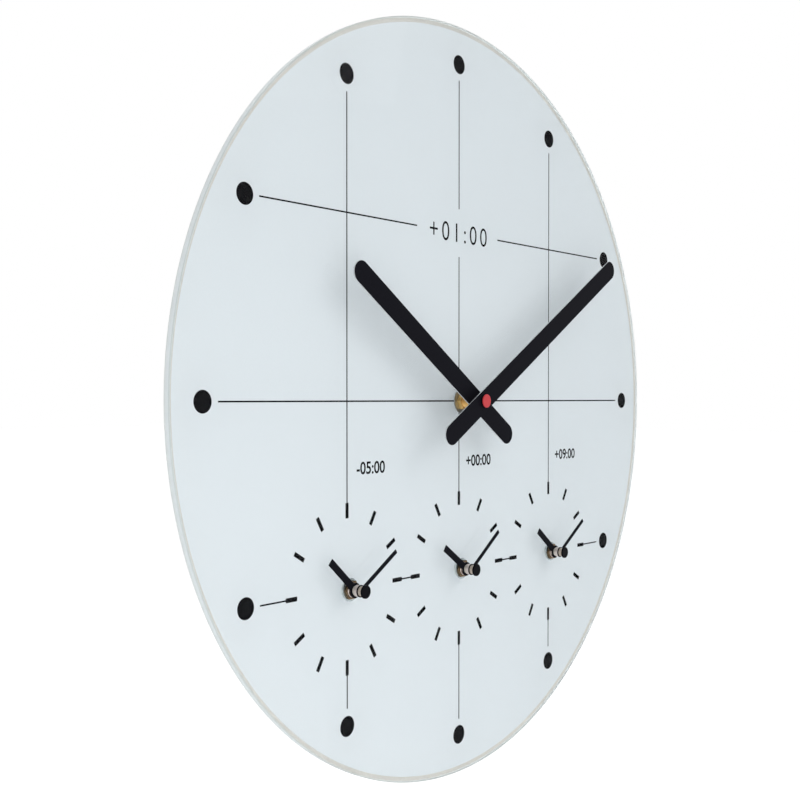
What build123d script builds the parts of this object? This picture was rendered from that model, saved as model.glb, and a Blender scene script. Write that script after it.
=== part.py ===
from build123d import *
import os
from math import cos, pi, radians, sin

# World time wall clock: one frameless round of back-painted glass, carried by four quartz movements.
# Frame: origin on the wall, on the axis of the main hands. The dial faces -Y, +Z is up, +X is three o'clock.
# All sizes are millimetres. Hands that turn clockwise for the reader turn positively about +Y.

# Glass and its rear coats
GLASS_DIAMETER = 430.0
GLASS_THICKNESS = 4.0
GLASS_ARRIS = 0.65
BACKING_THICKNESS = 0.4
BACKING_INSET = 0.7
INK_THICKNESS = 0.15

# Printed dial
DOT_RIM_MARGIN = 21.0
DOT_DIAMETER = 10.75
LINE_WIDTH = 0.8
LINE_TO_DOT_GAP = 3.8
TICK_INNER_RADIUS = 36.65
TICK_LENGTH = 7.9
TICK_WIDTH = 2.35
TITLE_GAP_WIDTH = 78.0
TITLE_GAP_HEIGHT = 27.6

# Shaft stack, the same in the four movements
ARBOR_DIAMETER = 3.2
HOUR_PIPE_DIAMETER = 5.0
BUSH_DIAMETER = 7.6
BUSH_FLANGE_DIAMETER = 11.0
BUSH_FLANGE_THICKNESS = 0.8
NUT_ACROSS_FLATS = 9.2
WASHER_THICKNESS = 0.6
RUNNING_CLEARANCE = 0.06
SEAT_CLEARANCE = 0.05
DIAL_HOLE_CLEARANCE = 0.4
CAP_GRIP = 1.0

# Main hands, heights measured from the front of the glass
MAIN_WASHER_DIAMETER = 15.0
MAIN_NUT_HEIGHT = 2.5
MAIN_BUSH_HEIGHT = 7.0
MAIN_HOUR_HEIGHT = 11.3
MAIN_MINUTE_HEIGHT = 16.4
MAIN_HAND_WIDTH = 11.7
MAIN_HAND_THICKNESS = 0.8
MAIN_HOUR_REACH = 125.4
MAIN_MINUTE_REACH = 174.2
MAIN_HAND_TAIL = 41.7
MAIN_HOUR_COLLET_DIAMETER = 8.4
MAIN_MINUTE_COLLET_DIAMETER = 7.0
MAIN_COLLET_LENGTH = 2.2
MAIN_CAP_STEM_DIAMETER = 6.6
MAIN_CAP_STEM_LENGTH = 1.1
MAIN_CAP_DIAMETER = 7.6
MAIN_CAP_THICKNESS = 0.6

# Small hands, heights measured from the front of the glass
SMALL_WASHER_DIAMETER = 12.0
SMALL_NUT_HEIGHT = 1.4
SMALL_BUSH_HEIGHT = 2.3
SMALL_HOUR_HEIGHT = 3.9
SMALL_MINUTE_HEIGHT = 7.6
SMALL_HAND_THICKNESS = 0.5
SMALL_HOUR_RING_DIAMETER = 7.9
SMALL_HOUR_WIDTH = 4.0
SMALL_HOUR_REACH = 25.0
SMALL_MINUTE_RING_DIAMETER = 6.4
SMALL_MINUTE_WIDTH = 2.25
SMALL_MINUTE_REACH = 33.6
SMALL_HOUR_COLLET_DIAMETER = 6.6
SMALL_HOUR_COLLET_LENGTH = 0.7
SMALL_MINUTE_COLLET_DIAMETER = 6.0
SMALL_MINUTE_COLLET_LENGTH = 2.4
SMALL_CAP_SKIRT_DIAMETER = 5.2
SMALL_CAP_SKIRT_LENGTH = 2.6
SMALL_CAP_DIAMETER = 7.0
SMALL_CAP_THICKNESS = 1.0
PIPE_STAND_OUT = 0.3

# Hand angles, degrees clockwise from twelve
MAIN_MINUTE_ANGLE = 59.1
MAIN_HOUR_ANGLE = -56.9
LEFT_MINUTE_ANGLE = 58.4
LEFT_HOUR_ANGLE = -48.5
MIDDLE_MINUTE_ANGLE = 54.4
MIDDLE_HOUR_ANGLE = -55.8
RIGHT_MINUTE_ANGLE = 57.4
RIGHT_HOUR_ANGLE = -53.0

# Movement case
CASE_DEPTH = 16.5
CASE_TOP = 28.0
CASE_WALL = 1.6
CASE_FRONT_WALL = 1.2
CASE_CORNER_RADIUS = 3.0
COVER_THICKNESS = 1.5
GASKET_WIDTH = 40.0
GASKET_THICKNESS = 0.5
SCREW_DIAMETER = 1.6
SCREW_LENGTH = 6.0
SCREW_HEAD_DIAMETER = 3.2
SCREW_HEAD_THICKNESS = 0.8
SCREW_BOSS_DIAMETER = 4.6
SCREW_INSET = 1.8
HANGER_WIDTH = 18.0
HANGER_RISE = 10.0
HANGER_HOLE_DIAMETER = 6.4

# Battery and contacts
BATTERY_DIAMETER = 14.2
BATTERY_LENGTH = 49.2
BATTERY_NUB_DIAMETER = 5.5
BATTERY_NUB_LENGTH = 1.3
BATTERY_CLEARANCE = 0.4
CONTACT_THICKNESS = 0.4
CONTACT_WIDTH = 8.0
CONTACT_STRIP_WIDTH = 2.4
SPRING_LENGTH = 1.5
SPRING_DIAMETER = 7.0

# Gear train
MOTION_MODULE = 0.35
CANNON_TEETH = 12
MOTION_TEETH = 36
MOTION_PINION_TEETH = 10
HOUR_TEETH = 40
KNOB_TEETH = 12
TRAIN_MODULE = 0.25
CENTRE_TEETH = 64
THIRD_PINION_TEETH = 8
THIRD_TEETH = 60
ROTOR_TEETH = 8
TOOTH_ADDENDUM = 0.8
TOOTH_DEDENDUM = 1.3
TOOTH_TIP_SHARE = 0.45
WHEEL_TOOTH_THICKNESS = 1.2
PINION_TOOTH_THICKNESS = 1.0
WHEEL_THICKNESS = 1.0
WHEEL_GAP = 0.3
MOTION_DIRECTION = 150.0
KNOB_DIRECTION = 100.0
THIRD_DIRECTION = 30.0
ROTOR_DIRECTION = 60.0

# Plates, pivots and motor
BRIDGE_THICKNESS = 1.0
BRIDGE_MARGIN = 2.6
POST_DIAMETER = 3.6
POST_PIN_DIAMETER = 1.8
POST_CLEARANCE = 2.0
POST_DIRECTIONS = (-25.0, 75.0, 205.0)
MOTION_POST_DIAMETER = 1.6
CENTRE_PIVOT_DIAMETER = 1.6
TRAIN_PIVOT_DIAMETER = 0.9
PIVOT_DEPTH = 1.2
BEARING_WALL = 1.0
ROTOR_DIAMETER = 4.8
ROTOR_THICKNESS = 2.0
ROTOR_GAP = 0.5
STATOR_THICKNESS = 1.6
STATOR_RING_WALL = 2.2
STATOR_LEG_WIDTH = 3.6
COIL_DIAMETER = 6.0
COIL_LENGTH = 11.5
COIL_CORE_DIAMETER = 1.5
COIL_CLEARANCE = 0.6
KNOB_DIAMETER = 9.0
KNOB_STEM_DIAMETER = 2.4
KNOB_RIBS = 24
KNOB_RIB_HEIGHT = 0.35
KNOB_CLEARANCE = 0.4
KNOB_SINK = 0.4
KNOB_CUP_WALL = 1.0
BOARD_THICKNESS = 1.0
BOARD_WIDTH = 10.5
BOARD_HEIGHT = 22.0
BOARD_GAP = 1.0
BOARD_POST_DIAMETER = 3.0
BOARD_PIN_DIAMETER = 1.4
CHIP_DIAMETER = 6.0
CHIP_HEIGHT = 0.8

# Depths behind the front of the movement case
FLANGE_BACK = CASE_FRONT_WALL + BUSH_FLANGE_THICKNESS
HOUR_WHEEL_FRONT = FLANGE_BACK + WHEEL_GAP
HOUR_WHEEL_BACK = HOUR_WHEEL_FRONT + WHEEL_THICKNESS
MOTION_FRONT = HOUR_WHEEL_BACK + WHEEL_GAP
MOTION_BACK = MOTION_FRONT + WHEEL_THICKNESS
BRIDGE_FRONT = MOTION_BACK + WHEEL_GAP
BRIDGE_BACK = BRIDGE_FRONT + BRIDGE_THICKNESS
CENTRE_FRONT = BRIDGE_BACK + WHEEL_GAP
CENTRE_BACK = CENTRE_FRONT + WHEEL_THICKNESS
THIRD_FRONT = CENTRE_BACK + WHEEL_GAP
THIRD_BACK = THIRD_FRONT + WHEEL_THICKNESS
MAGNET_FRONT = THIRD_BACK + WHEEL_GAP
MAGNET_BACK = MAGNET_FRONT + ROTOR_THICKNESS
STATOR_FRONT = (MAGNET_FRONT + MAGNET_BACK - STATOR_THICKNESS) / 2
STATOR_BACK = STATOR_FRONT + STATOR_THICKNESS
BOARD_FRONT = MAGNET_BACK + BOARD_GAP
BOARD_BACK = BOARD_FRONT + BOARD_THICKNESS
COVER_FRONT = CASE_DEPTH - COVER_THICKNESS

# Planes of the whole clock
CASE_FRONT_Y = -CASE_DEPTH
BACKING_BACK_Y = CASE_FRONT_Y - GASKET_THICKNESS
GLASS_BACK_Y = BACKING_BACK_Y - BACKING_THICKNESS
GLASS_FRONT_Y = GLASS_BACK_Y - GLASS_THICKNESS

# Dial layout: dots 11 and 1 stand above the outer small dials, dots 8 and 4 beside them
DOT_CIRCLE_RADIUS = GLASS_DIAMETER / 2 - DOT_RIM_MARGIN
HALF_CIRCLE = DOT_CIRCLE_RADIUS / 2
TICK_OUTER_RADIUS = TICK_INNER_RADIUS + TICK_LENGTH
DIAL_HOLE_DIAMETER = BUSH_DIAMETER + 2 * DIAL_HOLE_CLEARANCE


def depth(value):
    """Y of a depth behind the front of the movement case."""
    return CASE_FRONT_Y + value


def height(value):
    """Y of a height in front of the glass."""
    return GLASS_FRONT_Y - value


def polar(radius, degrees):
    """Point at a radius and an angle counted from +X towards +Z."""
    return radius * cos(radians(degrees)), radius * sin(radians(degrees))


def shifted(point, radius, degrees):
    """Point at a radius and an angle from another point."""
    dx, dz = polar(radius, degrees)
    return point[0] + dx, point[1] + dz


def slab(profile, front, back, centre=(0.0, 0.0)):
    """Solid between two Y planes from a profile drawn as the reader sees it."""
    plane = Plane(origin=(centre[0], back, centre[1]), x_dir=(1, 0, 0), z_dir=(0, -1, 0))
    return extrude(plane * profile, back - front)


def rod(diameter, front, back, centre=(0.0, 0.0)):
    """Round rod along Y."""
    return slab(Circle(diameter / 2), front, back, centre)


def block(left, right, front, back, bottom, top):
    """Box between six planes."""
    middle = ((left + right) / 2, (bottom + top) / 2)
    return slab(Rectangle(right - left, top - bottom), front, back, middle)


def pitch_distance(module, first, second):
    """Distance between the centres of two wheels in mesh."""
    return module * (first + second) / 2


def tip_radius(module, teeth):
    """Outer radius of a toothed wheel."""
    return module * (teeth / 2 + TOOTH_ADDENDUM)


def meshed(direction, teeth, phase, mate_teeth):
    """Angle of a tooth of a wheel that meshes, in the given direction, with a wheel of known phase."""
    step = 360 / teeth
    lead = (phase - direction + step / 2) % step - step / 2
    return direction + 180 - lead * teeth / mate_teeth + 180 / mate_teeth


def toothed(module, teeth, thickness, phase):
    """Outline of a toothed wheel with one tooth centred at the phase angle."""
    pitch = module * teeth / 2
    root = pitch - TOOTH_DEDENDUM * module
    tip = tip_radius(module, teeth)
    half = thickness / teeth
    narrow = half * TOOTH_TIP_SHARE * pitch / tip
    flank = ((root, -half), (pitch, -half), (tip, -narrow), (tip, narrow), (pitch, half), (root, half))
    points = []
    for index in range(teeth):
        centre = radians(phase) + 2 * pi * index / teeth
        points += [(r * cos(centre + a), r * sin(centre + a)) for r, a in flank]
    return Polygon(*points, align=None)


# Wheel centres, as the reader sees them, from the shaft
MOTION_DISTANCE = pitch_distance(MOTION_MODULE, CANNON_TEETH, MOTION_TEETH)
HOUR_MODULE = 2 * MOTION_DISTANCE / (MOTION_PINION_TEETH + HOUR_TEETH)
MOTION_CENTRE = polar(MOTION_DISTANCE, MOTION_DIRECTION)
KNOB_CENTRE = shifted(MOTION_CENTRE, pitch_distance(MOTION_MODULE, MOTION_TEETH, KNOB_TEETH), KNOB_DIRECTION)
THIRD_CENTRE = polar(pitch_distance(TRAIN_MODULE, CENTRE_TEETH, THIRD_PINION_TEETH), THIRD_DIRECTION)
ROTOR_CENTRE = shifted(THIRD_CENTRE, pitch_distance(TRAIN_MODULE, THIRD_TEETH, ROTOR_TEETH), ROTOR_DIRECTION)

# Wheel phases, so that every pair starts in mesh
CANNON_PHASE = MOTION_DIRECTION
MOTION_PHASE = meshed(MOTION_DIRECTION, CANNON_TEETH, CANNON_PHASE, MOTION_TEETH)
KNOB_PHASE = meshed(KNOB_DIRECTION, MOTION_TEETH, MOTION_PHASE, KNOB_TEETH)
HOUR_PHASE = meshed(MOTION_DIRECTION + 180, MOTION_PINION_TEETH, MOTION_PHASE, HOUR_TEETH)
THIRD_PHASE = meshed(THIRD_DIRECTION, CENTRE_TEETH, THIRD_DIRECTION, THIRD_PINION_TEETH)
ROTOR_PHASE = meshed(ROTOR_DIRECTION, THIRD_TEETH, THIRD_PHASE, ROTOR_TEETH)

# Case walls, from the battery, the widest wheel and the room above the shaft
INNER_HALF = (BATTERY_LENGTH + BATTERY_NUB_LENGTH + SPRING_LENGTH + 2 * CONTACT_THICKNESS) / 2
OUTER_HALF = INNER_HALF + CASE_WALL
BAY_WALL_TOP = -tip_radius(TRAIN_MODULE, CENTRE_TEETH) - 2 * WHEEL_GAP
BAY_TOP = BAY_WALL_TOP - CASE_WALL
BAY_BOTTOM = BAY_TOP - BATTERY_DIAMETER - 2 * BATTERY_CLEARANCE
CASE_BOTTOM = BAY_BOTTOM - CASE_WALL
BATTERY_Z = (BAY_TOP + BAY_BOTTOM) / 2
BATTERY_DEPTH = CASE_FRONT_WALL + BATTERY_CLEARANCE + BATTERY_DIAMETER / 2
BATTERY_LEFT = -INNER_HALF + CONTACT_THICKNESS + SPRING_LENGTH
BATTERY_RIGHT = BATTERY_LEFT + BATTERY_LENGTH

# Screw bosses in the corners of the train room, clear of the contact strip
BOSS_LOW = BAY_WALL_TOP + CONTACT_THICKNESS + WHEEL_GAP + SCREW_BOSS_DIAMETER / 2
BOSS_HIGH = CASE_TOP - CASE_WALL - SCREW_INSET
BOSS_CENTRES = [(side * (INNER_HALF - SCREW_INSET), z) for side in (-1, 1) for z in (BOSS_LOW, BOSS_HIGH)]

# Bridge posts round the hour wheel
POST_RADIUS = tip_radius(HOUR_MODULE, HOUR_TEETH) + POST_CLEARANCE + POST_DIAMETER / 2
POST_CENTRES = [polar(POST_RADIUS, angle) for angle in POST_DIRECTIONS]

# Coil beside the third wheel and the ring of the stator, its upper end level with the rotor
STATOR_RING_RADIUS = ROTOR_DIAMETER / 2 + ROTOR_GAP + STATOR_RING_WALL
THIRD_EDGE = THIRD_CENTRE[0] + tip_radius(TRAIN_MODULE, THIRD_TEETH)
COIL_X = max(THIRD_EDGE, ROTOR_CENTRE[0] + STATOR_RING_RADIUS) + COIL_CLEARANCE + COIL_DIAMETER / 2
COIL_TOP = ROTOR_CENTRE[1] - STATOR_LEG_WIDTH / 2 - COIL_CLEARANCE
COIL_BOTTOM = COIL_TOP - COIL_LENGTH
STATOR_LOW = COIL_BOTTOM - COIL_CLEARANCE - STATOR_LEG_WIDTH / 2

# Circuit board on the left wall, with its posts
BOARD_LEFT = -INNER_HALF + CONTACT_THICKNESS
BOARD_BOTTOM = BOSS_LOW + SCREW_BOSS_DIAMETER / 2 + WHEEL_GAP
BOARD_CENTRE = (BOARD_LEFT + BOARD_WIDTH / 2, BOARD_BOTTOM + BOARD_HEIGHT / 2)
BOARD_PINS = [
    (BOARD_CENTRE[0], BOARD_CENTRE[1] + side * (BOARD_HEIGHT / 2 - BOARD_POST_DIAMETER))
    for side in (-1, 1)
]

# The four movements: place, hands and rest angles
MOVEMENTS = {
    "main": ((0.0, 0.0), MAIN_MINUTE_ANGLE, MAIN_HOUR_ANGLE),
    "left": ((-HALF_CIRCLE, -HALF_CIRCLE), LEFT_MINUTE_ANGLE, LEFT_HOUR_ANGLE),
    "middle": ((0.0, -HALF_CIRCLE), MIDDLE_MINUTE_ANGLE, MIDDLE_HOUR_ANGLE),
    "right": ((HALF_CIRCLE, -HALF_CIRCLE), RIGHT_MINUTE_ANGLE, RIGHT_HOUR_ANGLE),
}
SMALL_PLACES = [place for name, (place, _, _) in MOVEMENTS.items() if name != "main"]


def is_main(name):
    """True for the movement of the large hands."""
    return name == "main"


def hub_holes(diameter):
    """Holes for the four shafts, as one profile."""
    return [Pos(*place) * Circle(diameter / 2) for place, _, _ in MOVEMENTS.values()]


# Glass, white coat and black print
def dial_glass():
    """Round pane with ground edges and four shaft holes."""
    pane = rod(GLASS_DIAMETER, GLASS_FRONT_Y, GLASS_BACK_Y)
    pane = chamfer(pane.edges().filter_by(GeomType.CIRCLE), GLASS_ARRIS)
    return pane - [slab(hole, GLASS_FRONT_Y, GLASS_BACK_Y) for hole in hub_holes(DIAL_HOLE_DIAMETER)]


def dot_places():
    """Centres of the twelve hour dots, keyed by hour."""
    return {hour: polar(DOT_CIRCLE_RADIUS, 90 - 30 * hour) for hour in range(1, 13)}


def dot_profile():
    """The twelve hour dots."""
    return Sketch() + [Pos(*place) * Circle(DOT_DIAMETER / 2) for place in dot_places().values()]


def tick_profile():
    """Twelve ticks round each small dial."""
    middle = TICK_INNER_RADIUS + TICK_LENGTH / 2
    tick = Rectangle(TICK_LENGTH, TICK_WIDTH)
    ring = [Pos(*polar(middle, 30 * index)) * Rot(0, 0, 30 * index) * tick for index in range(12)]
    return Sketch() + [Pos(*place) * mark for place in SMALL_PLACES for mark in ring]


def level_line(left, right, z):
    """Level hairline between two X."""
    return Pos((left + right) / 2, z) * Rectangle(right - left, LINE_WIDTH)


def upright_line(bottom, top, x):
    """Upright hairline between two Z."""
    return Pos(x, (bottom + top) / 2) * Rectangle(LINE_WIDTH, top - bottom)


def line_profile():
    """Hairlines that tie the hour dots to the small dials and to each other."""
    dots = dot_places()
    clear = DOT_DIAMETER / 2 + LINE_TO_DOT_GAP
    upper = -HALF_CIRCLE + TICK_OUTER_RADIUS
    lower = -HALF_CIRCLE - TICK_OUTER_RADIUS
    lines = [level_line(dots[9][0] + clear, dots[3][0] - clear, 0.0)]
    lines += [level_line(dots[10][0] + clear, -TITLE_GAP_WIDTH / 2, HALF_CIRCLE)]
    lines += [level_line(TITLE_GAP_WIDTH / 2, dots[2][0] - clear, HALF_CIRCLE)]
    lines += [upright_line(HALF_CIRCLE + TITLE_GAP_HEIGHT / 2, dots[12][1] - clear, 0.0)]
    lines += [upright_line(upper, HALF_CIRCLE - TITLE_GAP_HEIGHT / 2, 0.0)]
    lines += [upright_line(upper, dots[11][1] - clear, -HALF_CIRCLE)]
    lines += [upright_line(upper, dots[1][1] - clear, HALF_CIRCLE)]
    for hour, x in ((7, -HALF_CIRCLE), (6, 0.0), (5, HALF_CIRCLE)):
        lines += [upright_line(dots[hour][1] + clear, lower, x)]
    ends = [dots[8][0] + clear - TICK_OUTER_RADIUS] + [place[0] for place in SMALL_PLACES]
    ends += [dots[4][0] - clear + TICK_OUTER_RADIUS]
    for left, right in zip(ends, ends[1:]):
        lines += [level_line(left + TICK_OUTER_RADIUS, right - TICK_OUTER_RADIUS, -HALF_CIRCLE)]
    return Sketch() + lines - hub_holes(DIAL_HOLE_DIAMETER)


def ink(profile):
    """Black print on the rear face of the glass."""
    return slab(profile, GLASS_BACK_Y, GLASS_BACK_Y + INK_THICKNESS)


def white_backing():
    """White coat behind the print, with the print sunk into its front."""
    coat = rod(GLASS_DIAMETER - 2 * BACKING_INSET, GLASS_BACK_Y, BACKING_BACK_Y)
    coat -= [slab(hole, GLASS_BACK_Y, BACKING_BACK_Y) for hole in hub_holes(DIAL_HOLE_DIAMETER)]
    for profile in (dot_profile(), tick_profile(), line_profile()):
        coat -= ink(profile)
    return coat


# Fixings on the shafts
def bush(stand_out):
    """Threaded brass bush with its flange inside the case."""
    top = height(stand_out)
    body = rod(BUSH_DIAMETER, top, depth(FLANGE_BACK))
    body += rod(BUSH_FLANGE_DIAMETER, depth(CASE_FRONT_WALL), depth(FLANGE_BACK))
    return body - rod(HOUR_PIPE_DIAMETER + 2 * RUNNING_CLEARANCE, top, depth(FLANGE_BACK))


def washer(diameter):
    """Flat washer on the glass."""
    ring = Circle(diameter / 2) - Circle(BUSH_DIAMETER / 2 + SEAT_CLEARANCE)
    return slab(ring, height(WASHER_THICKNESS), GLASS_FRONT_Y)


def nut(tall):
    """Hexagon nut on the washer."""
    ring = RegularPolygon(NUT_ACROSS_FLATS / 2, 6, major_radius=False)
    ring -= Circle(BUSH_DIAMETER / 2 + SEAT_CLEARANCE)
    return slab(ring, height(WASHER_THICKNESS + tall), height(WASHER_THICKNESS))


def gasket():
    """Soft pad between the case and the painted glass."""
    pad = RectangleRounded(GASKET_WIDTH, GASKET_WIDTH, CASE_CORNER_RADIUS)
    return slab(pad - Circle(DIAL_HOLE_DIAMETER / 2), BACKING_BACK_Y, CASE_FRONT_Y)


# Movement case
def case_outline(bottom, top, half):
    """Rounded outline of a case part."""
    radius = CASE_CORNER_RADIUS - (OUTER_HALF - half)
    return Pos(0, (bottom + top) / 2) * RectangleRounded(2 * half, top - bottom, radius)


def movement_case():
    """Moulded case: battery bay below, train room above, with posts and bosses on its floor."""
    floor = depth(CASE_FRONT_WALL)
    rear = depth(COVER_FRONT)
    body = slab(case_outline(CASE_BOTTOM, CASE_TOP, OUTER_HALF), CASE_FRONT_Y, rear)
    body -= slab(case_outline(CASE_BOTTOM + CASE_WALL, CASE_TOP - CASE_WALL, INNER_HALF), floor, rear)
    body += block(-INNER_HALF, INNER_HALF, floor, rear, BAY_TOP, BAY_WALL_TOP)
    for x, z in BOSS_CENTRES:
        body += rod(SCREW_BOSS_DIAMETER, floor, rear, (x, z))
        hole = SCREW_DIAMETER + 2 * SEAT_CLEARANCE
        body -= rod(hole, rear - SCREW_LENGTH, rear, (x, z))
    for post in POST_CENTRES:
        body += rod(POST_DIAMETER, floor, depth(BRIDGE_FRONT), post)
        body += rod(POST_PIN_DIAMETER, floor, depth(BRIDGE_BACK), post)
    for pin in BOARD_PINS:
        body += rod(BOARD_POST_DIAMETER, floor, depth(BOARD_FRONT), pin)
        body += rod(BOARD_PIN_DIAMETER, floor, depth(BOARD_BACK), pin)
    body += rod(MOTION_POST_DIAMETER, floor, depth(BRIDGE_FRONT), MOTION_CENTRE)
    knob_boss = KNOB_STEM_DIAMETER + 2 * BEARING_WALL
    body += rod(knob_boss, floor, depth(HOUR_WHEEL_BACK), KNOB_CENTRE)
    body -= rod(KNOB_STEM_DIAMETER + 2 * RUNNING_CLEARANCE, floor, depth(HOUR_WHEEL_BACK), KNOB_CENTRE)
    strip = depth(BOARD_FRONT)
    for side in (-1, 1):
        inner, outer = sorted((side * (INNER_HALF - CONTACT_THICKNESS), side * INNER_HALF))
        body -= block(inner, outer, strip - CONTACT_STRIP_WIDTH, strip, BAY_TOP, BAY_WALL_TOP)
    return body - rod(BUSH_DIAMETER + 2 * SEAT_CLEARANCE, CASE_FRONT_Y, floor)


def bearing(centre, pivot, front):
    """Blind bearing post on the front of the rear cover and the hole in it."""
    post = rod(pivot + 2 * BEARING_WALL, front, depth(COVER_FRONT), centre)
    hole = rod(pivot + 2 * RUNNING_CLEARANCE, front, front + PIVOT_DEPTH + WHEEL_GAP, centre)
    return post - hole


def movement_cover(with_hanger):
    """Rear cover of the train room, with bearings, knob well, screw seats and, on one, the hanger."""
    front = depth(COVER_FRONT)
    back = depth(CASE_DEPTH)
    plate = slab(case_outline(BAY_TOP, CASE_TOP, OUTER_HALF), front, back)
    if with_hanger:
        ear = RectangleRounded(HANGER_WIDTH, 2 * HANGER_RISE, CASE_CORNER_RADIUS)
        plate += slab(ear, front, back, (0, CASE_TOP))
        plate -= rod(HANGER_HOLE_DIAMETER, front, back, (0, CASE_TOP + HANGER_RISE / 2))
    for place in BOSS_CENTRES:
        plate -= rod(SCREW_DIAMETER + 2 * SEAT_CLEARANCE, front, back, place)
        plate -= rod(SCREW_HEAD_DIAMETER + 2 * SEAT_CLEARANCE, back - SCREW_HEAD_THICKNESS, back, place)
    plate += bearing((0, 0), CENTRE_PIVOT_DIAMETER, depth(THIRD_BACK + WHEEL_GAP))
    plate += bearing(THIRD_CENTRE, TRAIN_PIVOT_DIAMETER, depth(THIRD_BACK + WHEEL_GAP))
    plate += bearing(ROTOR_CENTRE, TRAIN_PIVOT_DIAMETER, depth(MAGNET_BACK + WHEEL_GAP))
    well = KNOB_DIAMETER + 2 * KNOB_CLEARANCE
    well_floor = depth(BOARD_FRONT)
    plate += rod(well + 2 * KNOB_CUP_WALL, well_floor, front, KNOB_CENTRE)
    plate -= rod(well, well_floor + KNOB_CUP_WALL, back, KNOB_CENTRE)
    return plate - rod(KNOB_STEM_DIAMETER + 2 * RUNNING_CLEARANCE, well_floor, front, KNOB_CENTRE)


def cover_screws():
    """Four self-tapping screws of one cover."""
    back = depth(CASE_DEPTH)
    seat = back - SCREW_HEAD_THICKNESS
    tip = depth(COVER_FRONT) - SCREW_LENGTH + WHEEL_GAP
    return [rod(SCREW_HEAD_DIAMETER, seat, back, p) + rod(SCREW_DIAMETER, tip, seat, p) for p in BOSS_CENTRES]


# Fixed pieces inside the movement
def bridge_plate():
    """Plate between the motion work and the going train, staked on its posts."""
    points = POST_CENTRES + [KNOB_CENTRE, ROTOR_CENTRE]
    left = min(x for x, _ in points) - BRIDGE_MARGIN
    right = max(x for x, _ in points) + BRIDGE_MARGIN
    bottom = min(z for _, z in points) - BRIDGE_MARGIN
    top = max(z for _, z in points) + BRIDGE_MARGIN
    front = depth(BRIDGE_FRONT)
    back = depth(BRIDGE_BACK)
    plate = block(left, right, front, back, bottom, top)
    for post in POST_CENTRES:
        plate -= rod(POST_PIN_DIAMETER + 2 * SEAT_CLEARANCE, front, back, post)
    plate -= rod(CENTRE_PIVOT_DIAMETER + 2 * RUNNING_CLEARANCE, front, back)
    plate -= rod(KNOB_STEM_DIAMETER + 2 * RUNNING_CLEARANCE, front, back, KNOB_CENTRE)
    for centre in (THIRD_CENTRE, ROTOR_CENTRE):
        plate -= rod(TRAIN_PIVOT_DIAMETER + 2 * RUNNING_CLEARANCE, front, back, centre)
    return plate


def stator():
    """Soft iron loop round the rotor, closed by the core of the coil."""
    x, z = ROTOR_CENTRE
    half = STATOR_LEG_WIDTH / 2
    hole = ROTOR_DIAMETER / 2 + ROTOR_GAP
    end = COIL_X + COIL_CORE_DIAMETER / 2 + WHEEL_GAP
    front = depth(STATOR_FRONT)
    back = depth(STATOR_BACK)
    loop = rod(2 * STATOR_RING_RADIUS, front, back, ROTOR_CENTRE)
    loop += block(x, end, front, back, z - half, z + half)
    loop += block(x - half, x + half, front, back, STATOR_LOW - half, z)
    loop += block(x, end, front, back, STATOR_LOW - half, STATOR_LOW + half)
    middle = (front + back) / 2
    core = Pos(COIL_X, middle, (STATOR_LOW + z) / 2) * Cylinder(COIL_CORE_DIAMETER / 2, z - STATOR_LOW)
    return loop + core - rod(2 * hole, front, back, ROTOR_CENTRE)


def coil():
    """Winding on its core."""
    middle = (depth(STATOR_FRONT) + depth(STATOR_BACK)) / 2
    place = Pos(COIL_X, middle, (COIL_TOP + COIL_BOTTOM) / 2)
    bore = COIL_CORE_DIAMETER / 2 + SEAT_CLEARANCE
    return place * (Cylinder(COIL_DIAMETER / 2, COIL_LENGTH) - Cylinder(bore, COIL_LENGTH))


def circuit_board():
    """Board with its chip, staked on two posts."""
    front = depth(BOARD_FRONT)
    back = depth(BOARD_BACK)
    board = slab(Rectangle(BOARD_WIDTH, BOARD_HEIGHT), front, back, BOARD_CENTRE)
    board += rod(CHIP_DIAMETER, front - CHIP_HEIGHT, front, BOARD_CENTRE)
    for pin in BOARD_PINS:
        board -= rod(BOARD_PIN_DIAMETER + 2 * SEAT_CLEARANCE, front, back, pin)
    return board


def battery():
    """Round cell lying in the bay, its nub to the right."""
    can = Pos((BATTERY_LEFT + BATTERY_RIGHT) / 2, 0, 0) * Rot(0, 90, 0)
    cell = can * Cylinder(BATTERY_DIAMETER / 2, BATTERY_LENGTH)
    nub = Pos(BATTERY_RIGHT + BATTERY_NUB_LENGTH / 2, 0, 0) * Rot(0, 90, 0)
    cell += nub * Cylinder(BATTERY_NUB_DIAMETER / 2, BATTERY_NUB_LENGTH)
    return Pos(0, depth(BATTERY_DEPTH), BATTERY_Z) * cell


def contact(side, riser_left):
    """Contact at one end of the bay, with the strip that leads along the bay wall to the board."""
    axis = depth(BATTERY_DEPTH)
    strip = depth(BOARD_FRONT)
    strip_front = strip - CONTACT_STRIP_WIDTH
    strip_top = BAY_WALL_TOP + CONTACT_THICKNESS
    riser_right = riser_left + CONTACT_STRIP_WIDTH
    wall, face = sorted((side * INNER_HALF, side * (INNER_HALF - CONTACT_THICKNESS)))
    low = BATTERY_Z - CONTACT_WIDTH / 2
    body = block(wall, face, axis - CONTACT_WIDTH / 2, axis + CONTACT_WIDTH / 2, low, BAY_TOP)
    body += block(wall, face, strip_front, strip, BAY_TOP, strip_top)
    start, end = sorted((side * INNER_HALF, riser_left if side > 0 else riser_right))
    body += block(start, end, strip_front, strip, BAY_WALL_TOP, strip_top)
    rise = BOARD_BOTTOM + CONTACT_STRIP_WIDTH / 2
    return body + block(riser_left, riser_right, strip - CONTACT_THICKNESS, strip, BAY_WALL_TOP, rise)


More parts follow.
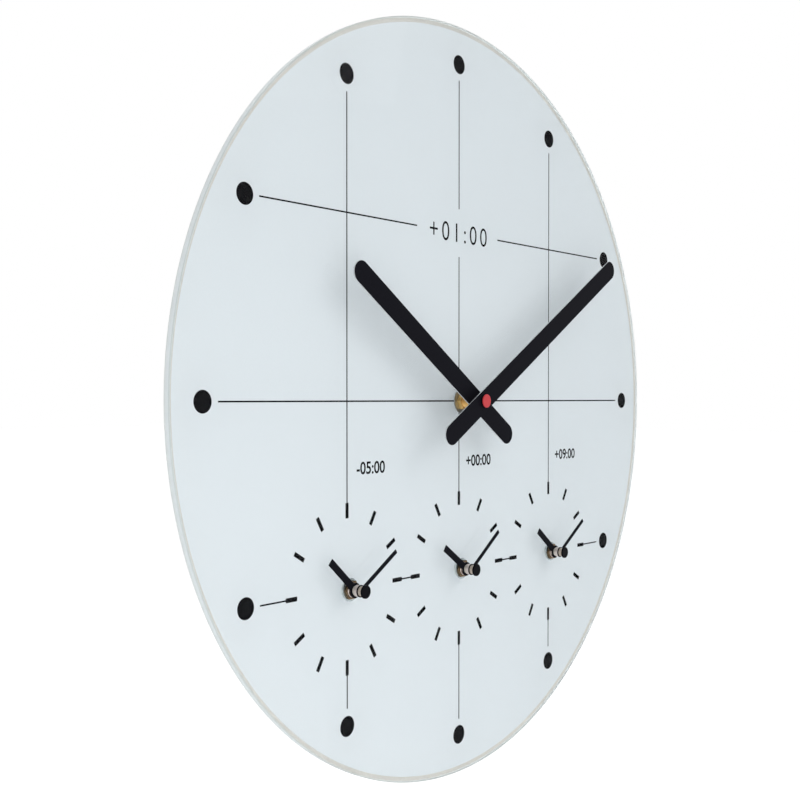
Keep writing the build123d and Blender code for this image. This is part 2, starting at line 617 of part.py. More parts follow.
def battery_contacts():
    """Sprung contact on the left and plain contact on the right."""
    boss_edge = SCREW_INSET + SCREW_BOSS_DIAMETER / 2
    left = contact(-1, -INNER_HALF + boss_edge + WHEEL_GAP)
    turn = Pos(BATTERY_LEFT - SPRING_LENGTH / 2, depth(BATTERY_DEPTH), BATTERY_Z) * Rot(0, 90, 0)
    left += turn * Cone(SPRING_DIAMETER / 2, SPRING_DIAMETER / 4, SPRING_LENGTH)
    right = contact(1, BOARD_LEFT + BOARD_WIDTH - CONTACT_STRIP_WIDTH)
    return [left, right]


# Turning pieces inside the movement
def minute_arbor(minute_height):
    """Arbor with cannon pinion and centre wheel, from the rear pivot to the minute hand's cap."""
    top = height(minute_height + CAP_GRIP)
    cannon = toothed(MOTION_MODULE, CANNON_TEETH, PINION_TOOTH_THICKNESS, CANNON_PHASE)
    wheel = toothed(TRAIN_MODULE, CENTRE_TEETH, WHEEL_TOOTH_THICKNESS, THIRD_DIRECTION)
    body = rod(ARBOR_DIAMETER, top, depth(MOTION_FRONT))
    body += slab(cannon, depth(MOTION_FRONT), depth(MOTION_BACK))
    body += slab(wheel, depth(CENTRE_FRONT), depth(CENTRE_BACK))
    return body + rod(CENTRE_PIVOT_DIAMETER, depth(MOTION_FRONT), depth(THIRD_BACK + WHEEL_GAP + PIVOT_DEPTH))


def hour_wheel(hour_height):
    """Hour wheel with the pipe that carries the hour hand."""
    top = height(hour_height + PIPE_STAND_OUT)
    wheel = toothed(HOUR_MODULE, HOUR_TEETH, WHEEL_TOOTH_THICKNESS, HOUR_PHASE)
    body = slab(wheel, depth(HOUR_WHEEL_FRONT), depth(HOUR_WHEEL_BACK))
    body += rod(HOUR_PIPE_DIAMETER, top, depth(HOUR_WHEEL_BACK))
    return body - rod(ARBOR_DIAMETER + 2 * RUNNING_CLEARANCE, top, depth(HOUR_WHEEL_BACK))


def motion_wheel():
    """Motion wheel and pinion on the fixed post."""
    wheel = toothed(MOTION_MODULE, MOTION_TEETH, WHEEL_TOOTH_THICKNESS, MOTION_PHASE)
    pinion = toothed(HOUR_MODULE, MOTION_PINION_TEETH, PINION_TOOTH_THICKNESS, MOTION_PHASE)
    front = depth(CASE_FRONT_WALL + WHEEL_GAP)
    body = slab(wheel, depth(MOTION_FRONT), depth(MOTION_BACK), MOTION_CENTRE)
    body += slab(pinion, front, depth(MOTION_FRONT), MOTION_CENTRE)
    bore = MOTION_POST_DIAMETER + 2 * RUNNING_CLEARANCE
    return body - rod(bore, front, depth(MOTION_BACK), MOTION_CENTRE)


def third_wheel():
    """Third wheel and pinion between the bridge and the cover."""
    pinion_phase = meshed(THIRD_DIRECTION, CENTRE_TEETH, THIRD_DIRECTION, THIRD_PINION_TEETH)
    pinion = toothed(TRAIN_MODULE, THIRD_PINION_TEETH, PINION_TOOTH_THICKNESS, pinion_phase)
    wheel = toothed(TRAIN_MODULE, THIRD_TEETH, WHEEL_TOOTH_THICKNESS, THIRD_PHASE)
    body = slab(pinion, depth(CENTRE_FRONT), depth(THIRD_FRONT), THIRD_CENTRE)
    body += slab(wheel, depth(THIRD_FRONT), depth(THIRD_BACK), THIRD_CENTRE)
    rear = depth(THIRD_BACK + WHEEL_GAP + PIVOT_DEPTH)
    return body + rod(TRAIN_PIVOT_DIAMETER, depth(BRIDGE_FRONT), rear, THIRD_CENTRE)


def rotor():
    """Magnet and pinion of the stepping motor."""
    pinion = toothed(TRAIN_MODULE, ROTOR_TEETH, PINION_TOOTH_THICKNESS, ROTOR_PHASE)
    body = slab(pinion, depth(CENTRE_BACK), depth(MAGNET_FRONT), ROTOR_CENTRE)
    body += rod(ROTOR_DIAMETER, depth(MAGNET_FRONT), depth(MAGNET_BACK), ROTOR_CENTRE)
    rear = depth(MAGNET_BACK + WHEEL_GAP + PIVOT_DEPTH)
    return body + rod(TRAIN_PIVOT_DIAMETER, depth(BRIDGE_FRONT), rear, ROTOR_CENTRE)


def set_knob():
    """Setting knob in the well of the cover, its pinion on the motion wheel."""
    pinion = toothed(MOTION_MODULE, KNOB_TEETH, PINION_TOOTH_THICKNESS, KNOB_PHASE)
    head_front = depth(BOARD_FRONT) + KNOB_CUP_WALL + WHEEL_GAP
    head_back = depth(CASE_DEPTH) - KNOB_SINK
    head = Circle(KNOB_DIAMETER / 2 - KNOB_RIB_HEIGHT)
    rib = Rectangle(2 * KNOB_RIB_HEIGHT, 2 * KNOB_RIB_HEIGHT)
    for index in range(KNOB_RIBS):
        turn = 360 * index / KNOB_RIBS
        head += Pos(*polar(KNOB_DIAMETER / 2 - KNOB_RIB_HEIGHT, turn)) * Rot(0, 0, turn) * rib
    body = rod(KNOB_STEM_DIAMETER, depth(CASE_FRONT_WALL + WHEEL_GAP), head_front, KNOB_CENTRE)
    body += slab(pinion, depth(MOTION_FRONT), depth(MOTION_BACK), KNOB_CENTRE)
    return body + slab(head, head_front, head_back, KNOB_CENTRE)


# Hands and caps
def hand(plate, hole, front_height, thickness, collet, collet_length):
    """Flat hand with the collet riveted behind it, pointing at twelve."""
    front = height(front_height)
    back = height(front_height - thickness)
    body = slab(plate, front, back)
    body += rod(collet, back, back + collet_length)
    return body - rod(hole, front, back + collet_length)


def bar_plate(reach):
    """Flat bar with round ends and a tail."""
    length = reach + MAIN_HAND_TAIL
    middle = (reach - MAIN_HAND_TAIL) / 2
    return Pos(0, middle) * Rot(0, 0, 90) * SlotOverall(length, MAIN_HAND_WIDTH)


def arm_plate(ring, width, reach):
    """Ring with one square-ended arm."""
    return Circle(ring / 2) + Pos(0, reach / 2) * Rectangle(width, reach)


def minute_hand(main):
    """Minute hand pointing at twelve."""
    if main:
        return hand(bar_plate(MAIN_MINUTE_REACH), ARBOR_DIAMETER, MAIN_MINUTE_HEIGHT, MAIN_HAND_THICKNESS,
                    MAIN_MINUTE_COLLET_DIAMETER, MAIN_COLLET_LENGTH)
    plate = arm_plate(SMALL_MINUTE_RING_DIAMETER, SMALL_MINUTE_WIDTH, SMALL_MINUTE_REACH)
    return hand(plate, ARBOR_DIAMETER, SMALL_MINUTE_HEIGHT, SMALL_HAND_THICKNESS,
                SMALL_MINUTE_COLLET_DIAMETER, SMALL_MINUTE_COLLET_LENGTH)


def hour_hand(main):
    """Hour hand pointing at twelve."""
    if main:
        return hand(bar_plate(MAIN_HOUR_REACH), HOUR_PIPE_DIAMETER, MAIN_HOUR_HEIGHT, MAIN_HAND_THICKNESS,
                    MAIN_HOUR_COLLET_DIAMETER, MAIN_COLLET_LENGTH)
    plate = arm_plate(SMALL_HOUR_RING_DIAMETER, SMALL_HOUR_WIDTH, SMALL_HOUR_REACH)
    return hand(plate, HOUR_PIPE_DIAMETER, SMALL_HOUR_HEIGHT, SMALL_HAND_THICKNESS,
                SMALL_HOUR_COLLET_DIAMETER, SMALL_HOUR_COLLET_LENGTH)


def cap(seat_height, stem, stem_length, disc, disc_thickness):
    """Button pressed over the end of the arbor."""
    seat = height(seat_height)
    shoulder = seat - stem_length
    body = rod(stem, shoulder, seat) + rod(disc, shoulder - disc_thickness, shoulder)
    return body - rod(ARBOR_DIAMETER, seat - CAP_GRIP, seat)


def hand_cap(main):
    """Cap of the large or of a small minute hand."""
    if main:
        return cap(MAIN_MINUTE_HEIGHT, MAIN_CAP_STEM_DIAMETER, MAIN_CAP_STEM_LENGTH,
                   MAIN_CAP_DIAMETER, MAIN_CAP_THICKNESS)
    return cap(SMALL_MINUTE_HEIGHT, SMALL_CAP_SKIRT_DIAMETER, SMALL_CAP_SKIRT_LENGTH,
               SMALL_CAP_DIAMETER, SMALL_CAP_THICKNESS)


def set_to(shape, clockwise):
    """Shape turned about the shaft, clockwise for the reader."""
    return Rot(0, clockwise, 0) * shape


def at_place(place, shape):
    """Shape moved from the main shaft to another shaft."""
    return Pos(place[0], 0, place[1]) * shape


def at_every_shaft(shapes):
    """Group of the same pieces at the four shafts."""
    places = [place for place, _, _ in MOVEMENTS.values()]
    return Compound([solid for place in places for shape in shapes for solid in at_place(place, shape).solids()])


def dial_nodes():
    """Glass, coat and print."""
    return {
        "dial_glass": dial_glass(),
        "white_backing": white_backing(),
        "hour_dots": ink(dot_profile()),
        "sub_dial_ticks": ink(tick_profile()),
        "dial_lines": ink(line_profile()),
    }


def fixing_nodes():
    """Pieces that clamp the movements to the glass."""
    small_bush = bush(SMALL_BUSH_HEIGHT)
    small_washer = washer(SMALL_WASHER_DIAMETER)
    small_nut = nut(SMALL_NUT_HEIGHT)
    groups = {
        "shaft_bushes": [bush(MAIN_BUSH_HEIGHT)] + [at_place(p, small_bush) for p in SMALL_PLACES],
        "dial_washers": [washer(MAIN_WASHER_DIAMETER)] + [at_place(p, small_washer) for p in SMALL_PLACES],
        "shaft_nuts": [nut(MAIN_NUT_HEIGHT)] + [at_place(p, small_nut) for p in SMALL_PLACES],
    }
    nodes = {name: Compound([s for shape in shapes for s in shape.solids()]) for name, shapes in groups.items()}
    nodes["gaskets"] = at_every_shaft([gasket()])
    nodes["cover_screws"] = at_every_shaft(cover_screws())
    return nodes


def inner_nodes():
    """Fixed pieces inside the movements, each kind as one group."""
    return {
        "bridge_plates": at_every_shaft([bridge_plate()]),
        "stators": at_every_shaft([stator()]),
        "coils": at_every_shaft([coil()]),
        "circuit_boards": at_every_shaft([circuit_board()]),
        "batteries": at_every_shaft([battery()]),
        "battery_contacts": at_every_shaft(battery_contacts()),
    }


def movement_nodes():
    """Cases, covers and every turning piece, one node for each piece."""
    case = movement_case()
    shared = {
        "motion_wheel": motion_wheel(),
        "third_wheel": third_wheel(),
        "rotor": rotor(),
        "set_knob": set_knob(),
    }
    nodes = {}
    for name, (place, minute_angle, hour_angle) in MOVEMENTS.items():
        main = is_main(name)
        pieces = {
            "case": case,
            "cover": movement_cover(main),
            "minute_hand": set_to(minute_hand(main), minute_angle),
            "minute_arbor": minute_arbor(MAIN_MINUTE_HEIGHT if main else SMALL_MINUTE_HEIGHT),
            "hour_hand": set_to(hour_hand(main), hour_angle),
            "hour_wheel": hour_wheel(MAIN_HOUR_HEIGHT if main else SMALL_HOUR_HEIGHT),
            "cap": hand_cap(main),
            **shared,
        }
        for piece, shape in pieces.items():
            nodes[f"{name}_{piece}"] = at_place(place, shape)
    return nodes


def write_nodes():
    """Writes every node to its own file."""
    os.makedirs("parts", exist_ok=True)
    nodes = {**dial_nodes(), **fixing_nodes(), **inner_nodes(), **movement_nodes()}
    for name, shape in nodes.items():
        export_step(shape, f"parts/{name}.step")
    print(f"{len(nodes)} nodes written")


write_nodes()
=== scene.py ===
"""World time wall clock: smooth pieces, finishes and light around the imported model.

Sizes are in millimetres and become metres where a mesh is made. The dial faces -Y, +Z is up, +X is three o'clock.
"""
import logging
import math
from collections.abc import Sequence
from dataclasses import dataclass
from enum import Enum
from functools import cache

import bmesh
import bpy
from mathutils import Matrix, Vector


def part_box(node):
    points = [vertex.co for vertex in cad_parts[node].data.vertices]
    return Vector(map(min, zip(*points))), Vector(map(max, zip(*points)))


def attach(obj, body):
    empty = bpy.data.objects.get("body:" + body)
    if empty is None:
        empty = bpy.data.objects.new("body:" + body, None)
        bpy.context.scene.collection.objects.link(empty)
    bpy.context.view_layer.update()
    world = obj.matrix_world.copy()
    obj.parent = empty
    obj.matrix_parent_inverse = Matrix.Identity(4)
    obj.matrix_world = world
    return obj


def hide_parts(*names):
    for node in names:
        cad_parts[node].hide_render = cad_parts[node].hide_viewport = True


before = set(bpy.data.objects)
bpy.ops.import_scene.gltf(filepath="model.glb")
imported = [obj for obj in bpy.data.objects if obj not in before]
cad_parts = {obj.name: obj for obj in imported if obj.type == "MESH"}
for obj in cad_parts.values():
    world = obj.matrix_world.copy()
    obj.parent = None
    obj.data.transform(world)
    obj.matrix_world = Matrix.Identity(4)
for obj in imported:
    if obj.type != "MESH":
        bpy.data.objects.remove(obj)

Point = tuple[float, float]
Place = tuple[float, float, float]
Colour = tuple[float, float, float]
Loop = list[Point]
Mesh = bpy.types.Mesh
Node = bpy.types.Node
Socket = bpy.types.NodeSocket

MM = 0.001
ROOT = "clock"
HOURS = 12
SHARP_ANGLE = math.radians(14)
ROUND_STEPS = 96
SMALL_STEPS = 48
EDGE_STEPS = 3
MITRE_LIMIT = 0.35
CORNER_SHARE = 0.45
HEIGHT_LOW, HEIGHT_HIGH = 0.3, 0.7
GLOSS_SPREAD = 0.12
BAKE_MAP = "OFBake"
MAP_SHARE = 0.48
MAIN_SHAFT = Matrix()
log = logging.getLogger("world_clock")

# Y of the pane's faces and of the coat's back, and how far coat and print reach into the glass to leave no air between.
GLASS_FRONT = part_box("dial_glass")[0].y / MM
GLASS_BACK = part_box("dial_glass")[1].y / MM
COAT_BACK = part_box("white_backing")[1].y / MM
SINK = 0.03


class Grain(Enum):
    """How a finish breaks up its surface, and how far that is drawn out along X, Y and Z."""

    MOULDED = ("fine pits of a spark-eroded mould", (1, 1, 1))
    TURNED = ("rings left by a lathe", (12, 1, 12))
    ROLLED = ("streaks of rolled sheet", (14, 4, 1))
    SPRAYED = ("soft orange peel of spray", (1, 1, 1))
    WOUND = ("close turns of wire", (3, 3, 3))
    PLAIN = ("even, on strips too thin to show more", (1, 1, 1))


def linear(*display: int) -> Colour:
    """Linear values of a display colour, which is red, green and blue from 0 to 255."""
    shares = (value / 255 for value in display)
    return tuple(c / 12.92 if c <= 0.04045 else ((c + 0.055) / 1.055) ** 2.4 for c in shares)


class Graph:
    """Node tree in the making."""

    def __init__(self, tree: bpy.types.NodeTree) -> None:
        """Takes the tree that nodes are added to."""
        self.tree = tree

    def feed(self, node: Node, **feeds: object) -> Node:
        """Sets up a node.

        Args:
            node: The node.
            feeds: Its settings, and its inputs by name with underscores for spaces, or by in_ and a number. A socket
                or a node's first output is linked, anything else becomes the input's own value.

        Returns:
            The node.
        """
        for name, value in feeds.items():
            if name.startswith("in_"):
                socket = node.inputs[int(name.removeprefix("in_"))]
            else:
                socket = node.inputs.get(name.replace("_", " "))
            source = value.outputs[0] if isinstance(value, Node) else value
            if socket is None:
                setattr(node, name, value)
            elif isinstance(source, Socket):
                self.tree.links.new(source, socket)
            else:
                socket.default_value = value
        return node

    def node(self, kind: str, **feeds: object) -> Node:
        """Adds a node of a type and sets it up."""
        return self.feed(self.tree.nodes.new(kind), **feeds)

    def maths(self, operation: str, first: object, second: object) -> Node:
        """Adds an operation on two values, sockets or nodes."""
        return self.node("ShaderNodeMath", operation=operation, in_0=first, in_1=second)

    def mix(self, share: object, first: Node, second: Node) -> Node:
        """Adds a shader between two others, by the share of the second."""
        return self.node("ShaderNodeMixShader", in_0=share, in_1=first, in_2=second)

    def seen(self) -> Node:
        """Tells what is seen straight, mirrored or through glass from light.

        Returns:
            The node, which gives 1 for what is seen and 0 for light.
        """
        path = self.node("ShaderNodeLightPath")
        total = path.outputs["Is Camera Ray"]
        for name in ("Is Glossy Ray", "Is Transmission Ray"):
            total = self.maths("MAXIMUM", total, path.outputs[name])
        return total


class Recipe(Graph):
    """Material in the making."""

    def __init__(self, name: str) -> None:
        """Starts a material with its principled shader.

        Args:
            name: The material's name.
        """
        self.material = bpy.data.materials.new(name)
        self.material.use_nodes = True
        super().__init__(self.material.node_tree)
        self.shader = self.tree.nodes["Principled BSDF"]

    def set(self, **feeds: object) -> None:
        """Sets the shader's own sockets."""
        self.feed(self.shader, **feeds)

    def show(self, surface: Node) -> None:
        """Shows another shader than the principled one."""
        self.feed(self.tree.nodes["Material Output"], Surface=surface)

    def height(self, grain: Grain, pitch: float) -> Socket:
        """Relief of a grain, from 0 to 1.

        Args:
            grain: The kind of grain.
            pitch: Its size in millimetres.

        Returns:
            The value socket.
        """
        _, drawn_out = grain.value
        source = self.node("ShaderNodeTexCoord").outputs["Object"]
        fine = self.node("ShaderNodeMapping", Vector=source, Scale=[1 / (pitch * MM * factor) for factor in drawn_out])
        feeds = {"Vector": fine, "Scale": 1.0}
        if grain is Grain.WOUND:
            wave = self.node("ShaderNodeTexWave", wave_type="BANDS", bands_direction="Z", Distortion=0.4, **feeds)
            return wave.outputs["Fac"]
        if grain is Grain.MOULDED:
            pits = self.node("ShaderNodeTexVoronoi", feature="SMOOTH_F1", Smoothness=0.6, **feeds)
            return pits.outputs["Distance"]
        layers = 1.0 if grain is Grain.SPRAYED else 2.0
        return self.node("ShaderNodeTexNoise", Detail=layers, Roughness=0.55, **feeds).outputs["Fac"]


@dataclass(frozen=True)
class Finish:
    """Finish of one kind of piece."""

    slot: str
    colour: Colour
    roughness: float
    grain: Grain
    pitch: float = 0.5
    relief: float = 0.004
    wander: float = 0.06
    metallic: float = 0.0
    specular: float = 0.5
    coat: float = 0.0
    clear: float = 0.0

    @cache
    def material(self) -> bpy.types.Material:
        """Builds the material once.

        Returns:
            The material.
        """
        recipe = Recipe(self.slot)
        recipe.set(Base_Color=(*self.colour, 1), Roughness=self.roughness, Metallic=self.metallic,
                   Specular_IOR_Level=self.specular, Coat_Weight=self.coat, Transmission_Weight=self.clear)
        self.refine(recipe)
        return recipe.material

    def refine(self, recipe: Recipe) -> None:
        """Lets colour, gloss and surface follow the grain.

        Args:
            recipe: The material in the making.
        """
        if self.grain is Grain.PLAIN:
            return
        height = recipe.height(self.grain, self.pitch)
        ramp = recipe.node("ShaderNodeValToRGB", Fac=height)
        ends = ((HEIGHT_LOW, 1 - self.wander), (HEIGHT_HIGH, 1 + self.wander))
        for element, (position, factor) in zip(ramp.color_ramp.elements, ends):
            element.position = position
            element.color = (*(min(1.0, c * factor) for c in self.colour), 1)
        gloss = recipe.node("ShaderNodeMapRange", Value=height, From_Min=HEIGHT_LOW, From_Max=HEIGHT_HIGH,
                            To_Min=self.roughness * (1 - GLOSS_SPREAD),
                            To_Max=min(1.0, self.roughness * (1 + GLOSS_SPREAD)))
        bump = recipe.node("ShaderNodeBump", Strength=1.0, Distance=self.relief * MM, Height=height)
        recipe.set(Base_Color=ramp, Roughness=gloss, Normal=bump)


@dataclass(frozen=True)
class GlassFinish(Finish):
    """Clear glass, of which the outer face mirrors only a share, as with an anti-reflection layer."""

    clear: float = 1.0
    index: float = 1.52
    mirror: float = 0.15

    def refine(self, recipe: Recipe) -> None:
        """Calms the mirroring and lets the lamps through to what the glass covers.

        Args:
            recipe: The material in the making.
        """
        recipe.set(IOR=self.index)
        bent = recipe.node("ShaderNodeBsdfRefraction", Color=(*self.colour, 1), Roughness=self.roughness,
                           IOR=self.index)
        side = recipe.node("ShaderNodeNewGeometry").outputs["Backfacing"]
        calmed = recipe.mix(recipe.maths("MAXIMUM", side, self.mirror), bent, recipe.shader)
        lamp = recipe.node("ShaderNodeLightPath").outputs["Is Shadow Ray"]
        recipe.show(recipe.mix(lamp, calmed, recipe.node("ShaderNodeBsdfTransparent")))


CLEAR_GLASS = GlassFinish("clear_glass", (1.0, 1.0, 1.0), 0.0, Grain.PLAIN)
GROUND_EDGE = Finish("ground_edge", linear(239, 245, 247), 0.6, Grain.PLAIN, clear=0.45)
# The arris is the same ground glass as the edge; its darker tone is painted shade for the dark line along the rim.
SHADED_GROUND_ARRIS = Finish("ground_arris", linear(214, 219, 217), 0.6, Grain.PLAIN, clear=0.35)
# Beige ring at the coat's border: painted shade, standing for the darker surroundings seen through an unpainted margin.
SHADED_EDGE_BAND = Finish("edge_seal", linear(217, 215, 209), 0.6, Grain.SPRAYED, 1.2, 0.003, 0.03, specular=0.2)
WHITE_COAT = Finish("white_coat", (0.76, 0.811, 0.838), 0.6, Grain.SPRAYED, 1.6, 0.002, 0.004)
BLACK_PRINT = Finish("black_print", linear(14, 14, 17), 0.6, Grain.SPRAYED, 0.8, 0.002, 0.1, specular=0.0)
BLACK_HAND = Finish("black_hand", linear(22, 22, 28), 0.5, Grain.SPRAYED, 0.7, 0.003, 0.15, specular=0.02)
CUT_EDGE = Finish("bare_cut_edge", linear(214, 216, 218), 0.45, Grain.ROLLED, 0.3, 0.003, 0.06, metallic=0.6)
RED_CAP = Finish("red_cap", linear(208, 66, 72), 0.42, Grain.SPRAYED, 0.8, 0.003, 0.05, specular=0.2)
BLACK_CAP = Finish("black_cap", linear(14, 14, 19), 0.3, Grain.SPRAYED, 0.6, 0.002, 0.15, specular=0.025)
BRASS = Finish("brass", linear(222, 184, 116), 0.42, Grain.TURNED, 0.25, 0.006, 0.1, metallic=0.75)
# The small nuts and bushes are one brass: the nuts' darker tone is painted dark reflection, the bushes' paler tone
# painted bright reflection.
BRASS_PAINTED_DARK_REFLECTION = Finish("pale_brass", linear(118, 98, 74), 0.22, Grain.TURNED, 0.25, 0.006, 0.16, metallic=1.0)
BRASS_PAINTED_BRIGHT_REFLECTION = Finish("thread_brass", linear(176, 164, 156), 0.22, Grain.TURNED, 0.25, 0.006, 0.1, metallic=0.9)
NICKEL = Finish("nickel_collet", linear(214, 202, 196), 0.4, Grain.TURNED, 0.2, 0.004, 0.05, metallic=0.3)
CAP_SKIRT = Finish("cap_skirt", linear(188, 174, 160), 0.4, Grain.TURNED, 0.2, 0.004, 0.05, metallic=0.3)
STEEL_WASHER = Finish("steel_washer", linear(168, 170, 166), 0.3, Grain.TURNED, 0.3, 0.003, 0.08, metallic=0.9)
# The small washers' pale metal is set darker: partly its own tone, partly painted shade for the contact shade round
# them under the glass.
WASHER_WITH_PAINTED_SHADE = Finish("pale_washer", linear(172, 182, 185), 0.26, Grain.TURNED, 0.3, 0.003, 0.05, metallic=0.85)
GASKET_RUBBER = Finish("gasket_rubber", linear(38, 38, 40), 0.85, Grain.MOULDED, 0.5, 0.02, 0.25, specular=0.3)
CASE_BLACK = Finish("case_black", linear(34, 34, 36), 0.55, Grain.MOULDED, 0.45, 0.012, 0.18, specular=0.4)
SCREW_STEEL = Finish("screw_steel", linear(186, 186, 182), 0.3, Grain.TURNED, 0.2, 0.003, 0.1, metallic=1.0)
SPRING_STEEL = Finish("spring_steel", linear(198, 199, 198), 0.26, Grain.ROLLED, 0.3, 0.003, 0.08, metallic=1.0)
BRIDGE_PLASTIC = Finish("bridge_plastic", linear(214, 212, 203), 0.45, Grain.MOULDED, 0.5, 0.006, 0.04)
MOTOR_IRON = Finish("motor_iron", linear(128, 128, 130), 0.4, Grain.ROLLED, 0.3, 0.004, 0.12, metallic=1.0)
COPPER_WIRE = Finish("copper_wire", linear(184, 104, 62), 0.32, Grain.WOUND, 0.14, 0.03, 0.25, metallic=1.0)
BOARD_GREEN = Finish("board_green", linear(38, 94, 60), 0.4, Grain.ROLLED, 0.6, 0.006, 0.15, coat=0.4)
CELL_JACKET = Finish("cell_jacket", linear(70, 108, 160), 0.34, Grain.ROLLED, 0.4, 0.002, 0.08, metallic=0.3, coat=0.4)
CELL_BAND = Finish("cell_band", linear(214, 217, 220), 0.34, Grain.ROLLED, 0.4, 0.002, 0.05, metallic=0.3, coat=0.4)
GEAR_PLASTIC = Finish("gear_plastic", linear(222, 220, 210), 0.4, Grain.MOULDED, 0.4, 0.004, 0.04)
MAGNET = Finish("magnet", linear(62, 60, 60), 0.5, Grain.MOULDED, 0.3, 0.006, 0.12, metallic=0.5)
KNOB_PLASTIC = Finish("knob_plastic", linear(206, 205, 198), 0.42, Grain.MOULDED, 0.4, 0.005, 0.05)


def arc(radius: float, start: float, stop: float, centre: Point, steps: int) -> Loop:
    """Points of an arc, ends included, from one angle to another in degrees."""
    angles = (math.radians(start + (stop - start) * index / steps) for index in range(steps + 1))
    return [(centre[0] + radius * math.cos(a), centre[1] + radius * math.sin(a)) for a in angles]


def circle(radius: float, centre: Point = (0.0, 0.0), steps: int = ROUND_STEPS, clockwise: bool = False) -> Loop:
    """Closed round outline in the dial's plane, clockwise for a hole."""
    return arc(radius, 0, -360 if clockwise else 360, centre, steps)[:-1]


def inset(loop: Loop, distance: float) -> Loop:
    """Outline moved into its material, to its left.

    Args:
        loop: Outer outline counterclockwise, or hole clockwise.
        distance: How far, in millimetres.

    Returns:
        The moved points.
    """
    moved = []
    for index, here in enumerate(loop):
        before = Vector(loop[index - 1])
        after = Vector(loop[(index + 1) % len(loop)])
        way_in = (Vector(here) - before).normalized()
        way_out = (after - Vector(here)).normalized()
        left = Vector((-way_in.y, way_in.x))
        normal = (left + Vector((-way_out.y, way_out.x))).normalized()
        reach = distance / max(MITRE_LIMIT, normal.dot(left))
        moved.append((here[0] + normal.x * reach, here[1] + normal.y * reach))
    return moved


def eased(profile: Sequence[Point], radius: float, keep: Sequence[int] = ()) -> Loop:
    """Profile with its corners rounded.

    Args:
        profile: Corners, as radius and place along the axis.
        radius: Size of the rounding.
        keep: Corners that stay sharp.

    Returns:
        The longer profile.
    """
    points: Loop = []
    for index, here in enumerate(profile):
        if index in keep:
            points.append(here)
            continue
        corner = Vector(here)
        before = Vector(profile[index - 1]) - corner
        after = Vector(profile[(index + 1) % len(profile)]) - corner
        start = corner + before.normalized() * min(radius, before.length * CORNER_SHARE)
        stop = corner + after.normalized() * min(radius, after.length * CORNER_SHARE)
        for step in range(EDGE_STEPS + 1):
            t = step / EDGE_STEPS
            bent = start * (1 - t) ** 2 + corner * 2 * t * (1 - t) + stop * t ** 2
            points.append((bent.x, bent.y))
    return points


def at(x: float, z: float, y: float = 0.0) -> Matrix:
    """Move from the main shaft to another place, in millimetres."""
    return Matrix.Translation(Vector((x, y, z)) * MM)


def linked(name: str, data: bpy.types.ID) -> bpy.types.Object:
    """Puts an object in the scene.

    Args:
        name: Its name.
        data: Its mesh, lamp, camera or text.

    Returns:
        The object.
    """
    made = bpy.data.objects.new(name, data)
    bpy.context.scene.collection.objects.link(made)
    return made


def plain(drawing: bmesh.types.BMesh, name: str) -> Mesh:
    """Makes a mesh of a finished drawing, which is freed.

    Args:
        drawing: The drawing.
        name: The mesh's name.

    Returns:
        The mesh.
    """
    made = bpy.data.meshes.new(name)
    drawing.to_mesh(made)
    drawing.free()
    return made


def evaluated(holder: bpy.types.Object) -> Mesh:
    """Makes a mesh of an object as it shows, and removes the object.

    Args:
        holder: The object.

    Returns:
        The mesh.
    """
    graph = bpy.context.evaluated_depsgraph_get()
    made = bpy.data.meshes.new_from_object(holder.evaluated_get(graph))
    bpy.data.objects.remove(holder)
    return made


def smooth(mesh: Mesh) -> None:
    """Shades a mesh smooth between its edges."""
    mesh.polygons.foreach_set("use_smooth", [True] * len(mesh.polygons))
    mesh.set_sharp_from_angle(angle=SHARP_ANGLE)


def fit(name: str, mesh: Mesh, body: str, slot: str, *nodes: str) -> None:
    """Links a mesh, rides it on its body and lets it stand for nodes.

    Args:
        name: The piece's name.
        mesh: Its mesh, in place.
        body: The body that it rides on.
        slot: The record's slot of its main finish. Not used.
        nodes: The nodes that it stands for.
    """
    piece = linked(name, mesh)
    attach(piece, body)
    if nodes:
        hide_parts(*nodes)
    log.info("%s on %s, %d faces", name, body, len(mesh.polygons))


